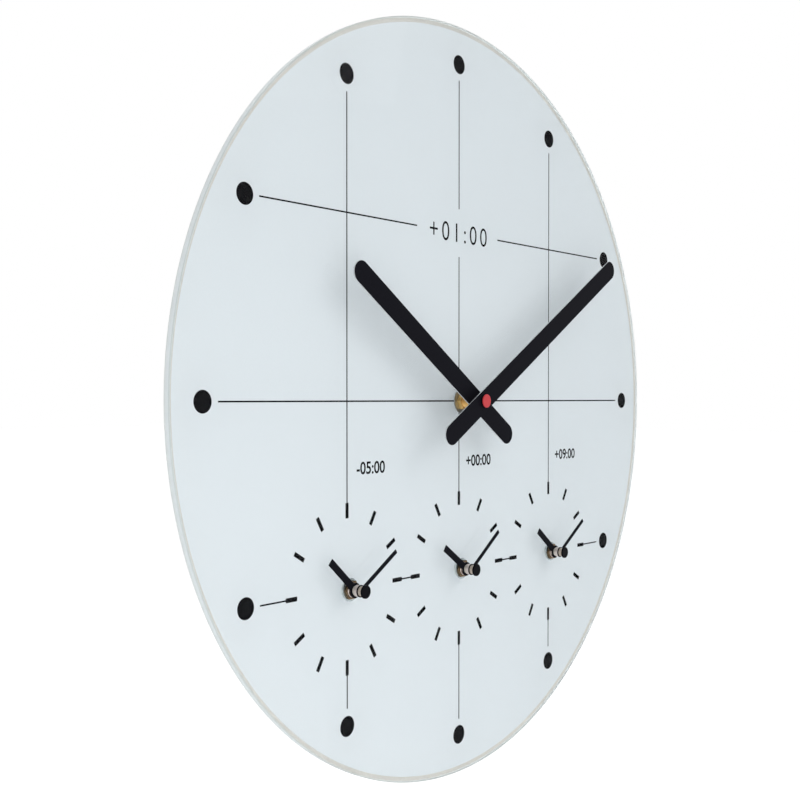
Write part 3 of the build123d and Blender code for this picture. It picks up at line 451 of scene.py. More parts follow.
class Piece:
    """One piece of the clock in the making."""

    def __init__(self, name: str) -> None:
        """Starts an empty mesh.

        Args:
            name: The piece's name.
        """
        self.name = name
        self.mesh = bmesh.new()
        self.finishes: list[Finish] = []

    def number(self, finish: Finish) -> int:
        """Finds a finish on this piece, or adds it.

        Args:
            finish: The finish.

        Returns:
            Its number.
        """
        if finish not in self.finishes:
            self.finishes.append(finish)
        return self.finishes.index(finish)

    def plate(self, loops: Sequence[Loop], front: float, back: float, edge: float, *finishes: Finish) -> None:
        """Adds a flat plate with rounded edges.

        Args:
            loops: Outer outline counterclockwise, then holes clockwise.
            front: Y of its front.
            back: Y of its back.
            edge: Radius of its edges.
            finishes: Finish of its faces, of its sides and of its edges, or one for all.
        """
        levels = []
        for step in range(EDGE_STEPS + 1):
            turn = math.pi / 2 * step / EDGE_STEPS
            levels.append((edge * (1 - math.sin(turn)), edge * (1 - math.cos(turn))))
        stack = [(shrink, front + rise) for shrink, rise in levels]
        stack += [(shrink, back - rise) for shrink, rise in reversed(levels)]
        face, side, round_edge = [self.number(finish) for finish in (finishes * 3 if len(finishes) == 1 else finishes)]
        caps: tuple[list, list] = ([], [])
        for loop in loops:
            rings = []
            for shrink, y in stack:
                rings.append([self.mesh.verts.new((x * MM, y * MM, z * MM)) for x, z in inset(loop, shrink)])
            for level, (ring, following) in enumerate(zip(rings, rings[1:])):
                self.band(ring, following, side if level == EDGE_STEPS else round_edge)
            for cap, ring in zip(caps, (rings[0], rings[-1])):
                cap += [self.mesh.edges.get((a, b)) for a, b in zip(ring, ring[1:] + ring[:1])]
        for cap in caps:
            filled = bmesh.ops.triangle_fill(self.mesh, use_beauty=True, edges=cap)
            for made in filled["geom"]:
                if isinstance(made, bmesh.types.BMFace):
                    made.material_index = face

    def band(self, ring: list, following: list, material: int) -> None:
        """Adds the faces between two rings of points, either of which may be a single point.

        Args:
            ring: The first ring.
            following: The next one.
            material: Number of the faces' finish.
        """
        count = max(len(ring), len(following))
        for index in range(count):
            after = (index + 1) % count
            corners = [ring[index], ring[after]] if len(ring) > 1 else ring
            corners = corners + ([following[after], following[index]] if len(following) > 1 else following)
            self.mesh.faces.new(corners).material_index = material

    def lay_out(self, loops: Sequence[Loop], width: float) -> None:
        """Lays out a plate's map for the export: its thin bands as strips below, its two faces side by side above.

        Args:
            loops: The plate's outlines.
            width: How wide it is.
        """
        layer = self.mesh.loops.layers.uv.new(BAKE_MAP)
        bands = iter([face for face in self.mesh.faces if len(face.verts) == 4])
        rows = [loop for loop in loops for _ in range(2 * EDGE_STEPS + 1)]
        for row, loop in enumerate(rows):
            for index in range(len(loop)):
                for corner, (along, up) in zip(next(bands).loops, ((0, 0), (1, 0), (1, 1), (0, 1))):
                    corner[layer].uv = ((index + along) / len(loop), (row + up) / len(rows) / 2)
        middle = sum(vert.co.y for vert in self.mesh.verts) / len(self.mesh.verts)
        for face in (face for face in self.mesh.faces if len(face.verts) == 3):
            left = 1 / 4 if face.verts[0].co.y < middle else 3 / 4
            for corner in face.loops:
                place = corner.vert.co * (MAP_SHARE / (width * MM))
                corner[layer].uv = (left + place.x, 3 / 4 + place.z)

    def turned(self, profile: Sequence[Point], finish: Finish | dict[int, Finish], place: Matrix = MAIN_SHAFT,
               steps: int = ROUND_STEPS) -> None:
        """Adds a turned shape from a closed profile.

        Args:
            profile: Points as radius and place along the axis; a radius of 0 closes an end.
            finish: Its finish, or several by the number of the point they start from.
            place: Where its axis goes from the main shaft.
            steps: Faces round it.
        """
        starts = finish if isinstance(finish, dict) else {0: finish}
        rings = []
        for radius, along in profile:
            points = circle(radius, steps=steps) if radius > 0 else [(0.0, 0.0)]
            rings.append([self.mesh.verts.new(place @ (Vector((x, along, z)) * MM)) for x, z in points])
        closed = len(rings[0]) > 1 and len(rings[-1]) > 1
        for index, (ring, following) in enumerate(zip(rings, rings[1:] + rings[:1] if closed else rings[1:])):
            if index in starts:
                material = self.number(starts[index])
            self.band(ring, following, material)

    def turn(self, clockwise: float, centre: Point) -> None:
        """Turns all so far about the main shaft, by degrees clockwise for the reader, and moves it to another shaft."""
        matrix = at(*centre) @ Matrix.Rotation(math.radians(clockwise), 4, "Y")
        bmesh.ops.transform(self.mesh, matrix=matrix, verts=self.mesh.verts[:])

    def data(self) -> Mesh:
        """Plain mesh with faces outwards.

        Returns:
            The mesh, with its finishes.
        """
        bmesh.ops.recalc_face_normals(self.mesh, faces=self.mesh.faces[:])
        made = plain(self.mesh, self.name)
        for finish in self.finishes:
            made.materials.append(finish.material())
        smooth(made)
        return made

    def stand_for(self, body: str, slot: str, *nodes: str) -> None:
        """Puts the piece in the scene on a body, in place of nodes."""
        fit(self.name, self.data(), body, slot, *nodes)


class Pattern(Graph):
    """Geometry Nodes tree with named inputs."""

    def __init__(self, name: str) -> None:
        """Starts a tree that takes and gives geometry.

        Args:
            name: The tree's name.
        """
        super().__init__(bpy.data.node_groups.new(name, "GeometryNodeTree"))
        self.start = self.node("NodeGroupInput")
        self.end = self.node("NodeGroupOutput")
        for way in ("INPUT", "OUTPUT"):
            self.tree.interface.new_socket("Geometry", in_out=way, socket_type="NodeSocketGeometry")
        self.values: dict[str, object] = {}

    def ask(self, name: str, kind: str, value: object) -> Socket:
        """Adds a named input.

        Args:
            name: Its name.
            kind: Its type, such as Float.
            value: What it is set to.

        Returns:
            The socket to link from.
        """
        item = self.tree.interface.new_socket(name, in_out="INPUT", socket_type=f"NodeSocket{kind}")
        self.values[item.identifier] = value
        return self.start.outputs[name]

    def length(self, name: str, value: float) -> Socket:
        """Adds a named length, given in millimetres."""
        return self.ask(name, "Float", value * MM)

    def vector(self, x: object = 0.0, y: object = 0.0, z: object = 0.0) -> Node:
        """Adds a vector of three values, sockets or nodes."""
        return self.node("ShaderNodeCombineXYZ", X=x, Y=y, Z=z)

    def strewn(self, points: Node, shape: object, **feeds: object) -> Node:
        """Sets a shape on every point."""
        return self.node("GeometryNodeInstanceOnPoints", Points=points, Instance=shape, **feeds)

    def mesh(self, geometry: Node, finish: Finish, start: Mesh | None = None) -> Mesh:
        """Closes the tree and runs it.

        Args:
            geometry: Node whose geometry the tree gives.
            finish: Its finish.
            start: Mesh that it starts from, where it has one.

        Returns:
            The plain mesh.
        """
        real = self.node("GeometryNodeRealizeInstances", Geometry=geometry)
        self.feed(self.end, Geometry=self.node("GeometryNodeSetMaterial", Geometry=real, Material=finish.material()))
        holder = linked(self.tree.name, start or bpy.data.meshes.new(self.tree.name))
        modifier = holder.modifiers.new("pattern", "NODES")
        modifier.node_group = self.tree
        for identifier, value in self.values.items():
            modifier[identifier] = value
        made = evaluated(holder)
        smooth(made)
        return made


def ink_middle(ink: float) -> float:
    """Y of the middle of a print of some thickness, which starts just in front of the coat."""
    return GLASS_BACK - 2 * SINK + ink / 2


@dataclass
class Dial:
    """Glass pane with the coat and print on its back."""

    diameter: float = 430.0
    arris: float = 0.65
    coat_inset: float = 0.7
    coat_edge: float = 0.05
    # Width of the beige ring of painted shade round the coat.
    shade_band: float = 2.2
    ink: float = 0.15
    hole: float = 8.4
    half: float = 97.0
    small_dials: int = 3
    dot_circle: float = 194.0
    dot: float = 10.75
    line: float = 0.8
    line_gap: float = 3.8
    tick_inner: float = 36.65
    tick_length: float = 7.9
    tick_width: float = 2.35
    title_gap: tuple[float, float] = (78.0, 27.6)
    rim_steps: int = 720

    def shafts(self) -> list[Point]:
        """Places of the four shafts."""
        return [(0.0, 0.0), (-self.half, -self.half), (0.0, -self.half), (self.half, -self.half)]

    def holes(self) -> list[Loop]:
        """Holes for the four shafts."""
        return [circle(self.hole / 2, place, clockwise=True) for place in self.shafts()]

    def build_pane(self) -> None:
        """Makes the glass pane with its ground edge."""
        outlines = [circle(self.diameter / 2, steps=self.rim_steps), *self.holes()]
        pane = Piece("glass_pane")
        # The arris finish carries painted shade.
        pane.plate(outlines, GLASS_FRONT, GLASS_BACK, self.arris, CLEAR_GLASS, GROUND_EDGE, SHADED_GROUND_ARRIS)
        pane.lay_out(outlines, self.diameter)
        pane.stand_for(ROOT, "clear_glass", "dial_glass")

    def build_coat(self) -> None:
        """Makes the white coat and, round its border, a beige ring whose tone is painted shade for the darker
        surroundings seen through the glass's unpainted margin.
        """
        reach = self.diameter / 2 - self.coat_inset
        border = circle(reach - self.shade_band, steps=self.rim_steps)
        inner = circle(reach - self.shade_band + SINK, steps=self.rim_steps, clockwise=True)
        coat = Piece("white_coat")
        coat.plate([border, *self.holes()], GLASS_BACK - SINK, COAT_BACK, self.coat_edge, WHITE_COAT)
        outer = circle(reach, steps=self.rim_steps)
        # The ring round the coat is painted shade for the darker surroundings seen through the margin.
        coat.plate([outer, inner], GLASS_BACK - SINK, COAT_BACK, self.coat_edge, SHADED_EDGE_BAND)
        coat.stand_for(ROOT, "white_coat", "white_backing")

    def print_marks(self, name: str, node: str, pattern: Pattern, marks: Node) -> None:
        """Prints the marks that a pattern draws flat, stood up in the dial's plane.

        Args:
            name: The piece's name.
            node: The node that it stands for.
            pattern: The pattern.
            marks: The node that draws them.
        """
        stood = pattern.node("GeometryNodeTransform", Geometry=marks, Rotation=(math.pi / 2, 0, 0),
                             Translation=(0, ink_middle(self.ink) * MM, 0))
        fit(name, pattern.mesh(stood, BLACK_PRINT), ROOT, "black_print", node)

    def build_dots(self) -> None:
        """Prints the twelve hour dots."""
        pattern = Pattern("hour_dots")
        ring = pattern.node("GeometryNodeMeshCircle", Vertices=HOURS,
                            Radius=pattern.length("Circle Radius", self.dot_circle))
        dot = pattern.node("GeometryNodeMeshCylinder", Vertices=ROUND_STEPS,
                           Radius=pattern.length("Dot Radius", self.dot / 2), Depth=pattern.length("Ink", self.ink))
        self.print_marks("hour_dots_print", "hour_dots", pattern, pattern.strewn(ring, dot))

    def build_ticks(self) -> None:
        """Prints twelve ticks round each small dial."""
        pattern = Pattern("sub_dial_ticks")
        middle = pattern.length("Ring Radius", self.tick_inner + self.tick_length / 2)
        size = pattern.vector(pattern.length("Tick Length", self.tick_length),
                              pattern.length("Tick Width", self.tick_width), pattern.length("Ink", self.ink))
        step = pattern.length("Dial Spacing", self.half)
        ring = pattern.node("GeometryNodeMeshCircle", Vertices=HOURS, Radius=middle)
        outward = pattern.node("FunctionNodeAlignRotationToVector", axis="X",
                               Vector=pattern.node("GeometryNodeInputPosition"))
        marks = pattern.strewn(ring, pattern.node("GeometryNodeMeshCube", Size=size), Rotation=outward)
        down = pattern.maths("MULTIPLY", step, -1.0)
        dials = pattern.node("GeometryNodeMeshLine", Count=self.small_dials, Start_Location=pattern.vector(down, down),
                             Offset=pattern.vector(step))
        self.print_marks("tick_rings_print", "sub_dial_ticks", pattern, pattern.strewn(dials, marks))

    def line_ends(self) -> list[tuple[Point, Point]]:
        """Ends of the hairlines.

        Returns:
            Pairs of points in the dial's plane.
        """
        angles = {hour: 2 * math.pi * hour / HOURS for hour in range(1, HOURS + 1)}
        dots = {h: (self.dot_circle * math.sin(a), self.dot_circle * math.cos(a)) for h, a in angles.items()}
        clear = self.dot / 2 + self.line_gap
        ring = self.tick_inner + self.tick_length
        half, hole = self.half, self.hole / 2
        wide, tall = (gap / 2 for gap in self.title_gap)
        across = [(0.0, dots[9][0] + clear, -hole), (0.0, hole, dots[3][0] - clear)]
        across += [(half, dots[10][0] + clear, -wide), (half, wide, dots[2][0] - clear)]
        ends = [dots[8][0] + clear - ring, -half, 0.0, half, dots[4][0] - clear + ring]
        across += [(-half, left + ring, right - ring) for left, right in zip(ends, ends[1:])]
        upright = [(0.0, half + tall, dots[12][1] - clear), (0.0, hole, half - tall), (0.0, ring - half, -hole)]
        upright += [(x, ring - half, dots[hour][1] - clear) for hour, x in ((11, -half), (1, half))]
        upright += [(x, dots[hour][1] + clear, -half - ring) for hour, x in ((7, -half), (6, 0.0), (5, half))]
        lines = [((left, z), (right, z)) for z, left, right in across]
        return lines + [((x, low), (x, high)) for x, low, high in upright]

    def build_lines(self) -> None:
        """Prints the hairlines, one bar for each edge of a wire drawing."""
        wires = bmesh.new()
        y = ink_middle(self.ink) * MM
        for pair in self.line_ends():
            wires.edges.new([wires.verts.new((x * MM, y, z * MM)) for x, z in pair])
        pattern = Pattern("hairlines")
        ends = pattern.node("GeometryNodeInputMeshEdgeVertices")
        along = pattern.node("ShaderNodeVectorMath", operation="SUBTRACT", in_0=ends.outputs["Position 2"],
                             in_1=ends.outputs["Position 1"])
        caught = pattern.node("GeometryNodeCaptureAttribute", domain="EDGE", Geometry=pattern.start)
        caught.capture_items.new("VECTOR", "Along")
        pattern.feed(caught, Along=along)
        middles = pattern.node("GeometryNodeMeshToPoints", mode="EDGES", Mesh=caught)
        measure = pattern.node("ShaderNodeVectorMath", operation="LENGTH", in_0=caught.outputs["Along"])
        size = pattern.vector(measure.outputs["Value"], pattern.length("Ink", self.ink),
                              pattern.length("Line Width", self.line))
        turn = pattern.node("FunctionNodeAlignRotationToVector", axis="X", Vector=caught.outputs["Along"])
        bars = pattern.strewn(middles, pattern.node("GeometryNodeMeshCube"), Rotation=turn, Scale=size)
        mesh = pattern.mesh(bars, BLACK_PRINT, plain(wires, "hairline_drawing"))
        fit("hairlines_print", mesh, ROOT, "black_print", "dial_lines")

    def dress(self) -> None:
        """Makes the whole dial."""
        self.build_pane()
        self.build_coat()
        self.build_dots()
        self.build_ticks()
        self.build_lines()


@dataclass(frozen=True)
class Figure:
    """Plain zone number printed on the dial."""

    name: str
    body: str
    left: float
    middle: float
    tall: float
    weight: float = 0.018
    spacing: float = 1.0


@dataclass
class Figures:
    """Zone numbers beside the uprights and in the gap of the upper line."""

    ink: float = 0.12
    extrude: float = 0.01
    curve_steps: int = 8
    rows: tuple[Figure, ...] = (
        Figure("zone_left", "-05:00", -89.5, -35.0, 6.7),
        Figure("zone_middle", "+00:00", 7.0, -35.0, 6.7),
        Figure("zone_right", "+09:00", 105.0, -35.0, 6.7),
        Figure("zone_main", "+01:00", -27.5, 97.0, 10.9, -0.004, 1.32),
    )

    def mesh(self, figure: Figure) -> Mesh:
        """Mesh of one number in its place.

        Args:
            figure: The number.

        Returns:
            The mesh.
        """
        line = bpy.data.curves.new(figure.name, "FONT")
        line.body = figure.body
        line.extrude = self.extrude
        line.offset = figure.weight
        line.space_character = figure.spacing
        line.resolution_u = self.curve_steps
        made = evaluated(linked(figure.name, line))
        xs = [v.co.x for v in made.vertices]
        ys = [v.co.y for v in made.vertices]
        scale = figure.tall * MM / (max(ys) - min(ys))
        thick = self.ink * MM / (2 * self.extrude)
        made.transform(Matrix((
            (scale, 0, 0, figure.left * MM - min(xs) * scale),
            (0, 0, -thick, ink_middle(self.ink) * MM),
            (0, scale, 0, figure.middle * MM - (max(ys) + min(ys)) / 2 * scale),
            (0, 0, 0, 1),
        )))
        made.materials.clear()
        made.materials.append(BLACK_PRINT.material())
        return made

    def dress(self) -> None:
        """Prints every number."""
        for figure in self.rows:
            fit(f"{figure.name}_number", self.mesh(figure), ROOT, "black_print")


@dataclass
class Fixings:
    """Washers, nuts and threaded bushes on the glass. Pairs are for the main shaft and for a small one."""

    shafts: list[Point]
    washer: float = 0.6
    washer_edge: float = 0.18
    washer_wide: tuple[float, float] = (15.0, 12.0)
    # The small washers' finish is partly painted shade.
    washer_finish: tuple[Finish, Finish] = (STEEL_WASHER, WASHER_WITH_PAINTED_SHADE)
    across_flats: float = 9.2
    nut_edge: float = 0.22
    nut_tall: tuple[float, float] = (2.5, 1.4)
    # The small nuts' finish carries painted dark reflection.
    nut_finish: tuple[Finish, Finish] = (BRASS, BRASS_PAINTED_DARK_REFLECTION)
    play: float = 0.05
    bush: float = 7.6
    bore: float = 5.12
    bore_edge: float = 0.15
    flange: float = 11.0
    flange_thick: float = 0.8
    flange_back: float = -14.5
    pitch: float = 0.75
    thread: float = 0.32
    thread_root: float = 0.08
    thread_crest: tuple[float, float] = (0.45, 0.55)
    bush_tall: tuple[float, float] = (7.0, 2.3)
    # The small bushes' finish carries painted bright reflection.
    bush_finish: tuple[Finish, Finish] = (BRASS, BRASS_PAINTED_BRIGHT_REFLECTION)

    def each(self) -> list[tuple[int, Point]]:
        """Places of the shafts, each with its number in a pair."""
        return [(min(index, 1), place) for index, place in enumerate(self.shafts)]

    def build_washers(self) -> None:
        """Makes the flat washers."""
        piece = Piece("dial_washers_flat")
        back = GLASS_FRONT
        front = back - self.washer
        inner = self.bush / 2 + self.play
        for size, place in self.each():
            wide = self.washer_wide[size] / 2
            ring = [(inner, front), (wide, front), (wide, back), (inner, back)]
            piece.turned(eased(ring, self.washer_edge), self.washer_finish[size], at(*place))
        piece.stand_for(ROOT, "pale_washer", "dial_washers")

    def build_nuts(self) -> None:
        """Makes the hexagon nuts."""
        piece = Piece("shaft_nuts_hex")
        back = GLASS_FRONT - self.washer
        corner = self.across_flats / math.sqrt(3)
        for size, place in self.each():
            outline = circle(corner, place, steps=6)
            hole = circle(self.bush / 2 + self.play, place, steps=SMALL_STEPS, clockwise=True)
            piece.plate([outline, hole], back - self.nut_tall[size], back, self.nut_edge, self.nut_finish[size])
        piece.stand_for(ROOT, "brass", "shaft_nuts")

    def build_bushes(self) -> None:
        """Makes the bushes, threaded where they stand out of the nut."""
        piece = Piece("shaft_bushes_threaded")
        radius, bore, flange = self.bush / 2, self.bore / 2, self.flange / 2
        flange_front = self.flange_back - self.flange_thick
        for size, place in self.each():
            top = GLASS_FRONT - self.bush_tall[size]
            profile = [(bore, top + self.bore_edge), (bore + self.bore_edge, top), (radius - self.thread, top)]
            for turn in range(int((GLASS_FRONT - top) / self.pitch)):
                start = top + turn * self.pitch
                profile += [(radius - self.thread, start + self.thread_root)]
                profile += [(radius, start + self.pitch * share) for share in self.thread_crest]
            profile += [(radius, GLASS_FRONT), (radius, flange_front), (flange, flange_front)]
            profile += [(flange, self.flange_back), (bore, self.flange_back)]
            piece.turned(profile, self.bush_finish[size], at(*place))
        piece.stand_for(ROOT, "brass", "shaft_bushes")

    def dress(self) -> None:
        """Makes all fixings."""
        self.build_washers()
        self.build_nuts()
        self.build_bushes()


class HandKind(Enum):
    """Shape of a hand."""

    BAR = "bar with round ends and a tail"
    ARM = "ring with one square-ended arm"


@dataclass(frozen=True)
class Hand:
    """One flat hand with its collet."""

    kind: HandKind
    reach: float
    width: float
    tail: float
    thick: float
    hole: float
    collet: float
    collet_length: float
    edge: float = 0.08
    collet_edge: float = 0.2
    end_steps: int = 40
    ring_steps: int = 72
    hole_steps: int = 64
    side_finish: Finish = BLACK_HAND

    def outline(self) -> Loop:
        """Outline of the hand at twelve.

        Returns:
            Points counterclockwise.
        """
        half = self.width / 2
        if self.kind is HandKind.BAR:
            tip = arc(half, 0, 180, (0, self.reach - half), self.end_steps)
            return tip + arc(half, 180, 360, (0, half - self.tail), self.end_steps)
        ring = self.tail
        lean = math.degrees(math.asin(half / ring))
        round_end = arc(ring, 90 + lean, 450 - lean, (0, 0), self.ring_steps)
        return [(half, self.reach), (-half, self.reach)] + round_end

    def build(self, name: str, front: float, clockwise: float, place: Point) -> Piece:
        """Makes the hand in its place.

        Args:
            name: The piece's name.
            front: Y of its front.
            clockwise: Degrees from twelve.
            place: Its shaft.

        Returns:
            The piece.
        """
        back = front + self.thick
        foot = back + self.collet_length
        bore, collet = self.hole / 2, self.collet / 2
        piece = Piece(name)
        hole = circle(bore, steps=self.hole_steps, clockwise=True)
        piece.plate([self.outline(), hole], front, back, self.edge, BLACK_HAND, self.side_finish, BLACK_HAND)
        ring = [(bore, back), (collet, back), (collet, foot), (bore, foot)]
        piece.turned(eased(ring, self.collet_edge, keep=(0, 1)), NICKEL)
        piece.turn(clockwise, place)
        return piece


@dataclass(frozen=True)
class Cap:
    """Button on the end of the minute arbor."""

    slot: str
    stem: float
    stem_length: float
    disc: float
    disc_thick: float
    stem_finish: Finish
    disc_finish: Finish
    bore: float = 3.2
    grip: float = 1.0
    lip: float = 0.25
    lip_share: float = 0.4
    lip_round: float = 0.3

    def build(self, name: str, seat: float, place: Point) -> Piece:
        """Makes the cap on its shaft.

        Args:
            name: The piece's name.
            seat: Y of the hand's front.
            place: Its shaft.

        Returns:
            The piece.
        """
        shoulder = seat - self.stem_length
        front = shoulder - self.disc_thick
        bore, stem, disc = self.bore / 2, self.stem / 2, self.disc / 2
        lip = min(self.lip, self.disc_thick * self.lip_share)
        bend = lip * self.lip_round
        lower = [(0.0, seat - self.grip), (bore, seat - self.grip), (bore, seat), (stem, seat), (stem, shoulder)]
        upper = [(disc, shoulder), (disc, front + lip), (disc - bend, front + bend), (disc - lip, front), (0.0, front)]
        piece = Piece(name)
        piece.turned(lower + upper, {0: self.stem_finish, len(lower) - 1: self.disc_finish}, at(*place))
        return piece


@dataclass(frozen=True)
class HandSet:
    """Minute hand, hour hand and cap of one shaft, which fit together."""

    minute: Hand
    hour: Hand
    cap: Cap

    def dress(self, name: str, place: Point, minute_angle: float, hour_angle: float) -> None:
        """Makes the three pieces where their nodes are.

        Args:
            name: The shaft's name.
            place: Where the shaft is.
            minute_angle: Degrees of the minute hand, clockwise from twelve.
            hour_angle: Degrees of the hour hand.
        """
        for kind, hand, angle in (("minute", self.minute, minute_angle), ("hour", self.hour, hour_angle)):
            node = f"{name}_{kind}_hand"
            piece = hand.build(f"{node}_black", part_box(node)[0].y / MM, angle, place)
            piece.stand_for(f"{name}_{kind}", "black_hand", node)
        cap = self.cap.build(f"{name}_cap_button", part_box(f"{name}_minute_hand")[0].y / MM, place)
        cap.stand_for(f"{name}_minute", self.cap.slot, f"{name}_cap")


MAIN_SET = HandSet(
    Hand(HandKind.BAR, 174.2, 11.7, 41.7, 0.8, 3.2, 7.0, 2.2, side_finish=CUT_EDGE),
    Hand(HandKind.BAR, 125.4, 11.7, 41.7, 0.8, 5.0, 8.4, 2.2, side_finish=CUT_EDGE),
    Cap("red_cap", 6.6, 1.1, 7.6, 0.6, BLACK_CAP, RED_CAP),
)
SMALL_SET = HandSet(
    Hand(HandKind.ARM, 33.6, 2.25, 3.2, 0.5, 3.2, 6.0, 2.4),
    Hand(HandKind.ARM, 25.0, 4.0, 3.95, 0.5, 5.0, 6.6, 0.7),
    Cap("black_cap", 5.2, 2.6, 7.0, 1.0, CAP_SKIRT, BLACK_CAP),
)
# Shafts in their order, each with its hands and the degrees of minute and hour hand, clockwise from twelve.
SHAFT_HANDS: dict[str, tuple[HandSet, float, float]] = {
    "main": (MAIN_SET, 59.1, -56.9),
    "left": (SMALL_SET, 58.4, -48.5),
    "middle": (SMALL_SET, 54.4, -55.8),
    "right": (SMALL_SET, 57.4, -53.0),
}


@dataclass(frozen=True)
class Screw:
    """Cover screw with a cross recess, its head flush at Y 0."""

    head: float = 3.2
    head_thick: float = 0.8
    head_edge: float = 0.08
    shank: float = 1.6
    tip: float = -7.2
    recess: float = 0.44
    recess_share: float = 0.62
    recess_deep: float = 0.4
    pitch: float = 0.6
    crest: float = 0.25
    root: float = 0.5
    thread: float = 0.2
    point: float = 0.8
    plain_end: float = 1.2

    def mesh(self) -> Mesh:
        """Mesh of one screw.

        Returns:
            The mesh.
        """
        piece = Piece("cover_screw_pattern")
        head, shank, slot = self.head / 2, self.shank / 2, self.recess / 2
        reach = head * self.recess_share
        cross, arm = [], [(slot, slot), (slot, reach), (-slot, reach)]
        for _ in range(4):
            cross += arm
            arm = [(-z, x) for x, z in arm]
        disc = circle(head, steps=SMALL_STEPS)
        piece.plate([disc, cross[::-1]], -self.recess_deep, 0.0, self.head_edge, SCREW_STEEL)
        neck = -self.head_thick
        body = [(0.0, -self.recess_deep), (head, -self.recess_deep), (head, neck), (shank, neck)]
        for turn in range(int((neck - self.tip - self.plain_end) / self.pitch)):
            y = neck - self.pitch * turn
            body += [(shank, y - self.crest), (shank - self.thread, y - self.root)]
        body += [(shank - self.thread, self.tip + self.point), (0.0, self.tip)]
        piece.turned(body, SCREW_STEEL, steps=SMALL_STEPS)
        return piece.data()


# Parts of a round cell from foot to nub: finish, X of the end it is measured from, then radius and distance of points.
CELL_PARTS: tuple[tuple[Finish, float, Loop], ...] = (
    (SCREW_STEEL, -24.5, [(0.0, 0.0), (5.112, 0.0), (5.68, 0.25), (6.603, 0.25), (6.603, 0.5)]),
    (CELL_JACKET, -24.5, [(6.674, 0.5), (7.1, 0.9), (7.1, 34.0)]),
    (CELL_BAND, 24.7, [(7.1, -0.9), (6.674, -0.4), (6.39, -0.4), (5.822, -0.4)]),
    (SCREW_STEEL, 24.7, [(5.68, 0.0), (2.9, 0.0), (2.7, 1.1), (2.3, 1.3), (0.0, 1.3)]),
)
NODE_FINISHES: dict[str, Finish] = {
    "case": CASE_BLACK, "cover": CASE_BLACK, "minute_arbor": BRASS, "hour_wheel": GEAR_PLASTIC,
    "motion_wheel": GEAR_PLASTIC, "third_wheel": GEAR_PLASTIC, "rotor": MAGNET, "set_knob": KNOB_PLASTIC,
}
GROUP_FINISHES: dict[str, Finish] = {
    "gaskets": GASKET_RUBBER, "bridge_plates": BRIDGE_PLASTIC, "stators": MOTOR_IRON, "coils": COPPER_WIRE,
    "circuit_boards": BOARD_GREEN, "battery_contacts": SPRING_STEEL,
}


@dataclass
class Movements:
    """Cases, covers, cells and trains behind the dial."""

    shafts: list[Point]
    screw: Screw = Screw()
    screw_places: tuple[Point, ...] = ((-24.6, -5.83), (24.6, -5.83), (-24.6, 24.6), (24.6, 24.6))
    screw_seed: int = 7
    cell_level: float = -7.8
    cell_drop: float = -17.9

    def coat_node(self, name: str, finish: Finish) -> None:
        """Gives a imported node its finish.

        Args:
            name: The node.
            finish: The finish.
        """
        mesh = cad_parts[name].data
        mesh.materials.clear()
        mesh.materials.append(finish.material())

    def build_cells(self) -> None:
        """Makes the round cells."""
        piece = Piece("cells_plain")
        profile: Loop = []
        starts: dict[int, Finish] = {}
        for finish, end, part in CELL_PARTS:
            starts[max(0, len(profile) - 1)] = finish
            profile += [(radius, end + along) for radius, along in part]
        lying = Matrix.Rotation(-math.pi / 2, 4, "Z")
        for x, z in self.shafts:
            piece.turned(profile, starts, at(x, z + self.cell_drop, self.cell_level) @ lying)
        piece.stand_for(ROOT, "cell_jacket", "batteries")

    def build_screws(self) -> None:
        """Sets sixteen screws, each stopped at an angle of its own."""
        places = bmesh.new()
        for x, z in self.shafts:
            for dx, dz in self.screw_places:
                places.verts.new(Vector((x + dx, 0.0, z + dz)) * MM)
        holder = linked("cover_screw_pattern", self.screw.mesh())
        pattern = Pattern("cover_screws")
        shape = pattern.node("GeometryNodeObjectInfo", Object=pattern.ask("Screw", "Object", holder))
        seed = pattern.ask("Seed", "Int", self.screw_seed)
        spin = pattern.node("FunctionNodeRandomValue", data_type="FLOAT", Seed=seed, in_3=math.pi)
        turn = pattern.vector(y=spin.outputs[1])
        screws = pattern.strewn(pattern.start, shape.outputs["Geometry"], Rotation=turn)
        mesh = pattern.mesh(screws, SCREW_STEEL, plain(places, "screw_places"))
        bpy.data.objects.remove(holder)
        fit("cover_screws_cross", mesh, ROOT, "screw_steel", "cover_screws")

    def dress(self) -> None:
        """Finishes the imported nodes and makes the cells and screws."""
        for node, finish in GROUP_FINISHES.items():
            self.coat_node(node, finish)
        for name in SHAFT_HANDS:
            for kind, finish in NODE_FINISHES.items():
                self.coat_node(f"{name}_{kind}", finish)
        self.build_cells()
        self.build_screws()


@dataclass(frozen=True)
class Lamp:
    """Soft square lamp that looks at the clock, placed and measured in metres."""

    name: str
    place: Place
    span: float
    watts: float
    shadow: bool = True

    def build(self) -> None:
        """Sets the lamp up."""
        data = bpy.data.lights.new(self.name, "AREA")
        data.shape = "SQUARE"
        data.size = self.span
        data.energy = self.watts
        data.use_shadow = self.shadow
        lamp = linked(self.name, data)
        lamp.location = self.place
        lamp.rotation_euler = (-Vector(self.place)).to_track_quat("-Z", "Y").to_euler()


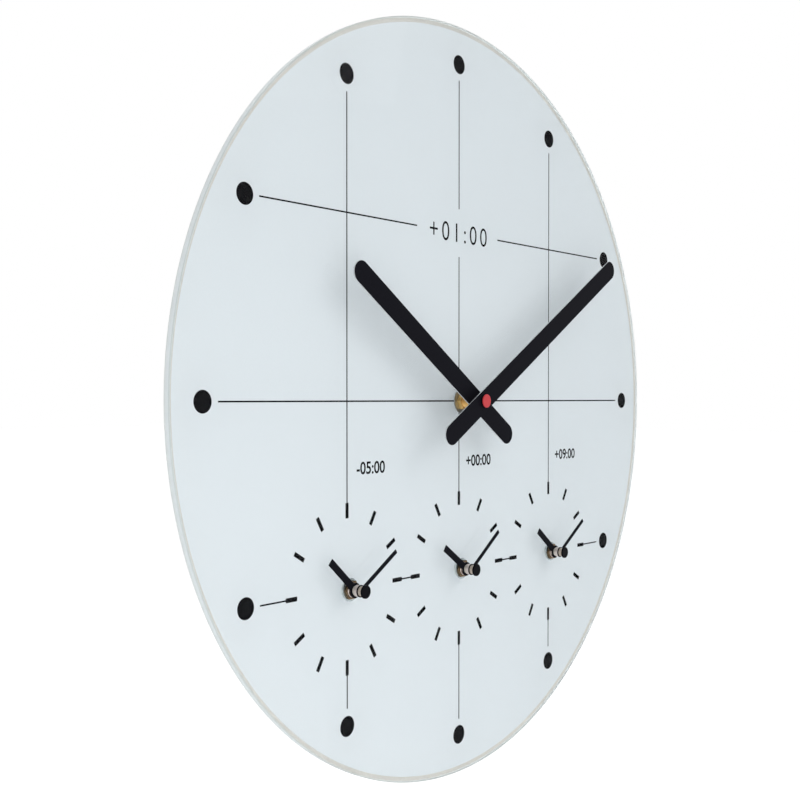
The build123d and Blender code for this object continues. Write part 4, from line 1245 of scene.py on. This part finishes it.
@dataclass
class Studio:
    """Camera, lamps, white surroundings and floor. The fill lamp only lifts the dark side, so it casts no shadow."""

    camera_place: Place = (-540.51, -416.60, 1.46)
    azimuth: float = -50.782
    elevation: float = 0.819
    roll: float = -0.011
    focal_pixels: float = 1155.69
    picture: float = 800.0
    axis_row: float = 414.91
    sensor: float = 36.0
    clip: tuple[float, float] = (0.01, 100.0)
    sky: Colour = (0.97, 0.99, 1.0)
    white: Colour = (1.0, 1.0, 1.0)
    ambient: float = 0.66
    floor_tone: Colour = (0.85, 0.85, 0.85)
    floor_glow: float = 0.5
    floor_drop: float = -620.0
    floor_span: float = 40.0
    lamps: tuple[Lamp, ...] = (
        Lamp("key", (1.2, -1.7, 1.3), 1.2, 5.0),
        Lamp("fill", (-0.7, -0.75, -0.6), 1.1, 4.5, shadow=False),
        Lamp("rear", (0.6, 2.2, 1.2), 2.4, 15.0),
    )

    def build_camera(self) -> None:
        """Sets the camera where the photograph was taken."""
        data = bpy.data.cameras.new("camera")
        camera = linked("camera", data)
        turns = ((self.azimuth, "Z"), (90 - self.elevation, "X"), (self.roll, "Z"))
        camera.matrix_world = Matrix.Translation(Vector(self.camera_place) * MM)
        for degrees, axis in turns:
            camera.matrix_world @= Matrix.Rotation(math.radians(degrees), 4, axis)
        data.sensor_width = self.sensor
        data.lens = self.focal_pixels / self.picture * self.sensor
        data.shift_y = (self.axis_row - self.picture / 2) / self.picture
        data.clip_start, data.clip_end = self.clip
        bpy.context.scene.camera = camera

    def build_world(self) -> None:
        """Surrounds the clock with white."""
        world = bpy.data.worlds.new("white_studio")
        world.use_nodes = True
        bpy.context.scene.world = world
        graph = Graph(world.node_tree)
        light = graph.feed(graph.tree.nodes["Background"], Color=(*self.sky, 1), Strength=self.ambient)
        white = graph.node("ShaderNodeBackground", Color=(*self.white, 1))
        graph.feed(graph.tree.nodes["World Output"], Surface=graph.mix(graph.seen(), light, white))

    def build_floor(self) -> None:
        """Lays the pale floor well below the clock, white with a soft shadow where it is seen."""
        half = self.floor_span / 2
        drop = self.floor_drop * MM
        corners = [(-half, -half, drop), (half, -half, drop), (half, half, drop), (-half, half, drop)]
        mesh = bpy.data.meshes.new("floor")
        mesh.from_pydata(corners, [], [(0, 1, 2, 3)])
        recipe = Recipe("pale_floor")
        recipe.set(Base_Color=(*self.floor_tone, 1), Roughness=0.9, Specular_IOR_Level=0.0)
        glow = recipe.node("ShaderNodeEmission", Strength=self.floor_glow)
        bright = recipe.node("ShaderNodeAddShader", in_0=recipe.shader, in_1=glow)
        recipe.show(recipe.mix(recipe.seen(), recipe.shader, bright))
        mesh.materials.append(recipe.material)
        linked("floor", mesh)

    def dress(self) -> None:
        """Sets up the whole studio."""
        bpy.context.scene.view_settings.view_transform = "Standard"
        self.build_camera()
        self.build_world()
        self.build_floor()
        for lamp in self.lamps:
            lamp.build()


def main() -> None:
    """Builds the clock piece by piece and lights it."""
    logging.basicConfig(level=logging.INFO, format="%(name)s: %(message)s")
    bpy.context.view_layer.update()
    dial = Dial()
    shafts = dial.shafts()
    dial.dress()
    Figures().dress()
    Fixings(shafts).dress()
    for place, (name, (hands, minute_angle, hour_angle)) in zip(shafts, SHAFT_HANDS.items()):
        hands.dress(name, place, minute_angle, hour_angle)
    Movements(shafts).dress()
    Studio().dress()


if __name__ == "__main__":
    main()
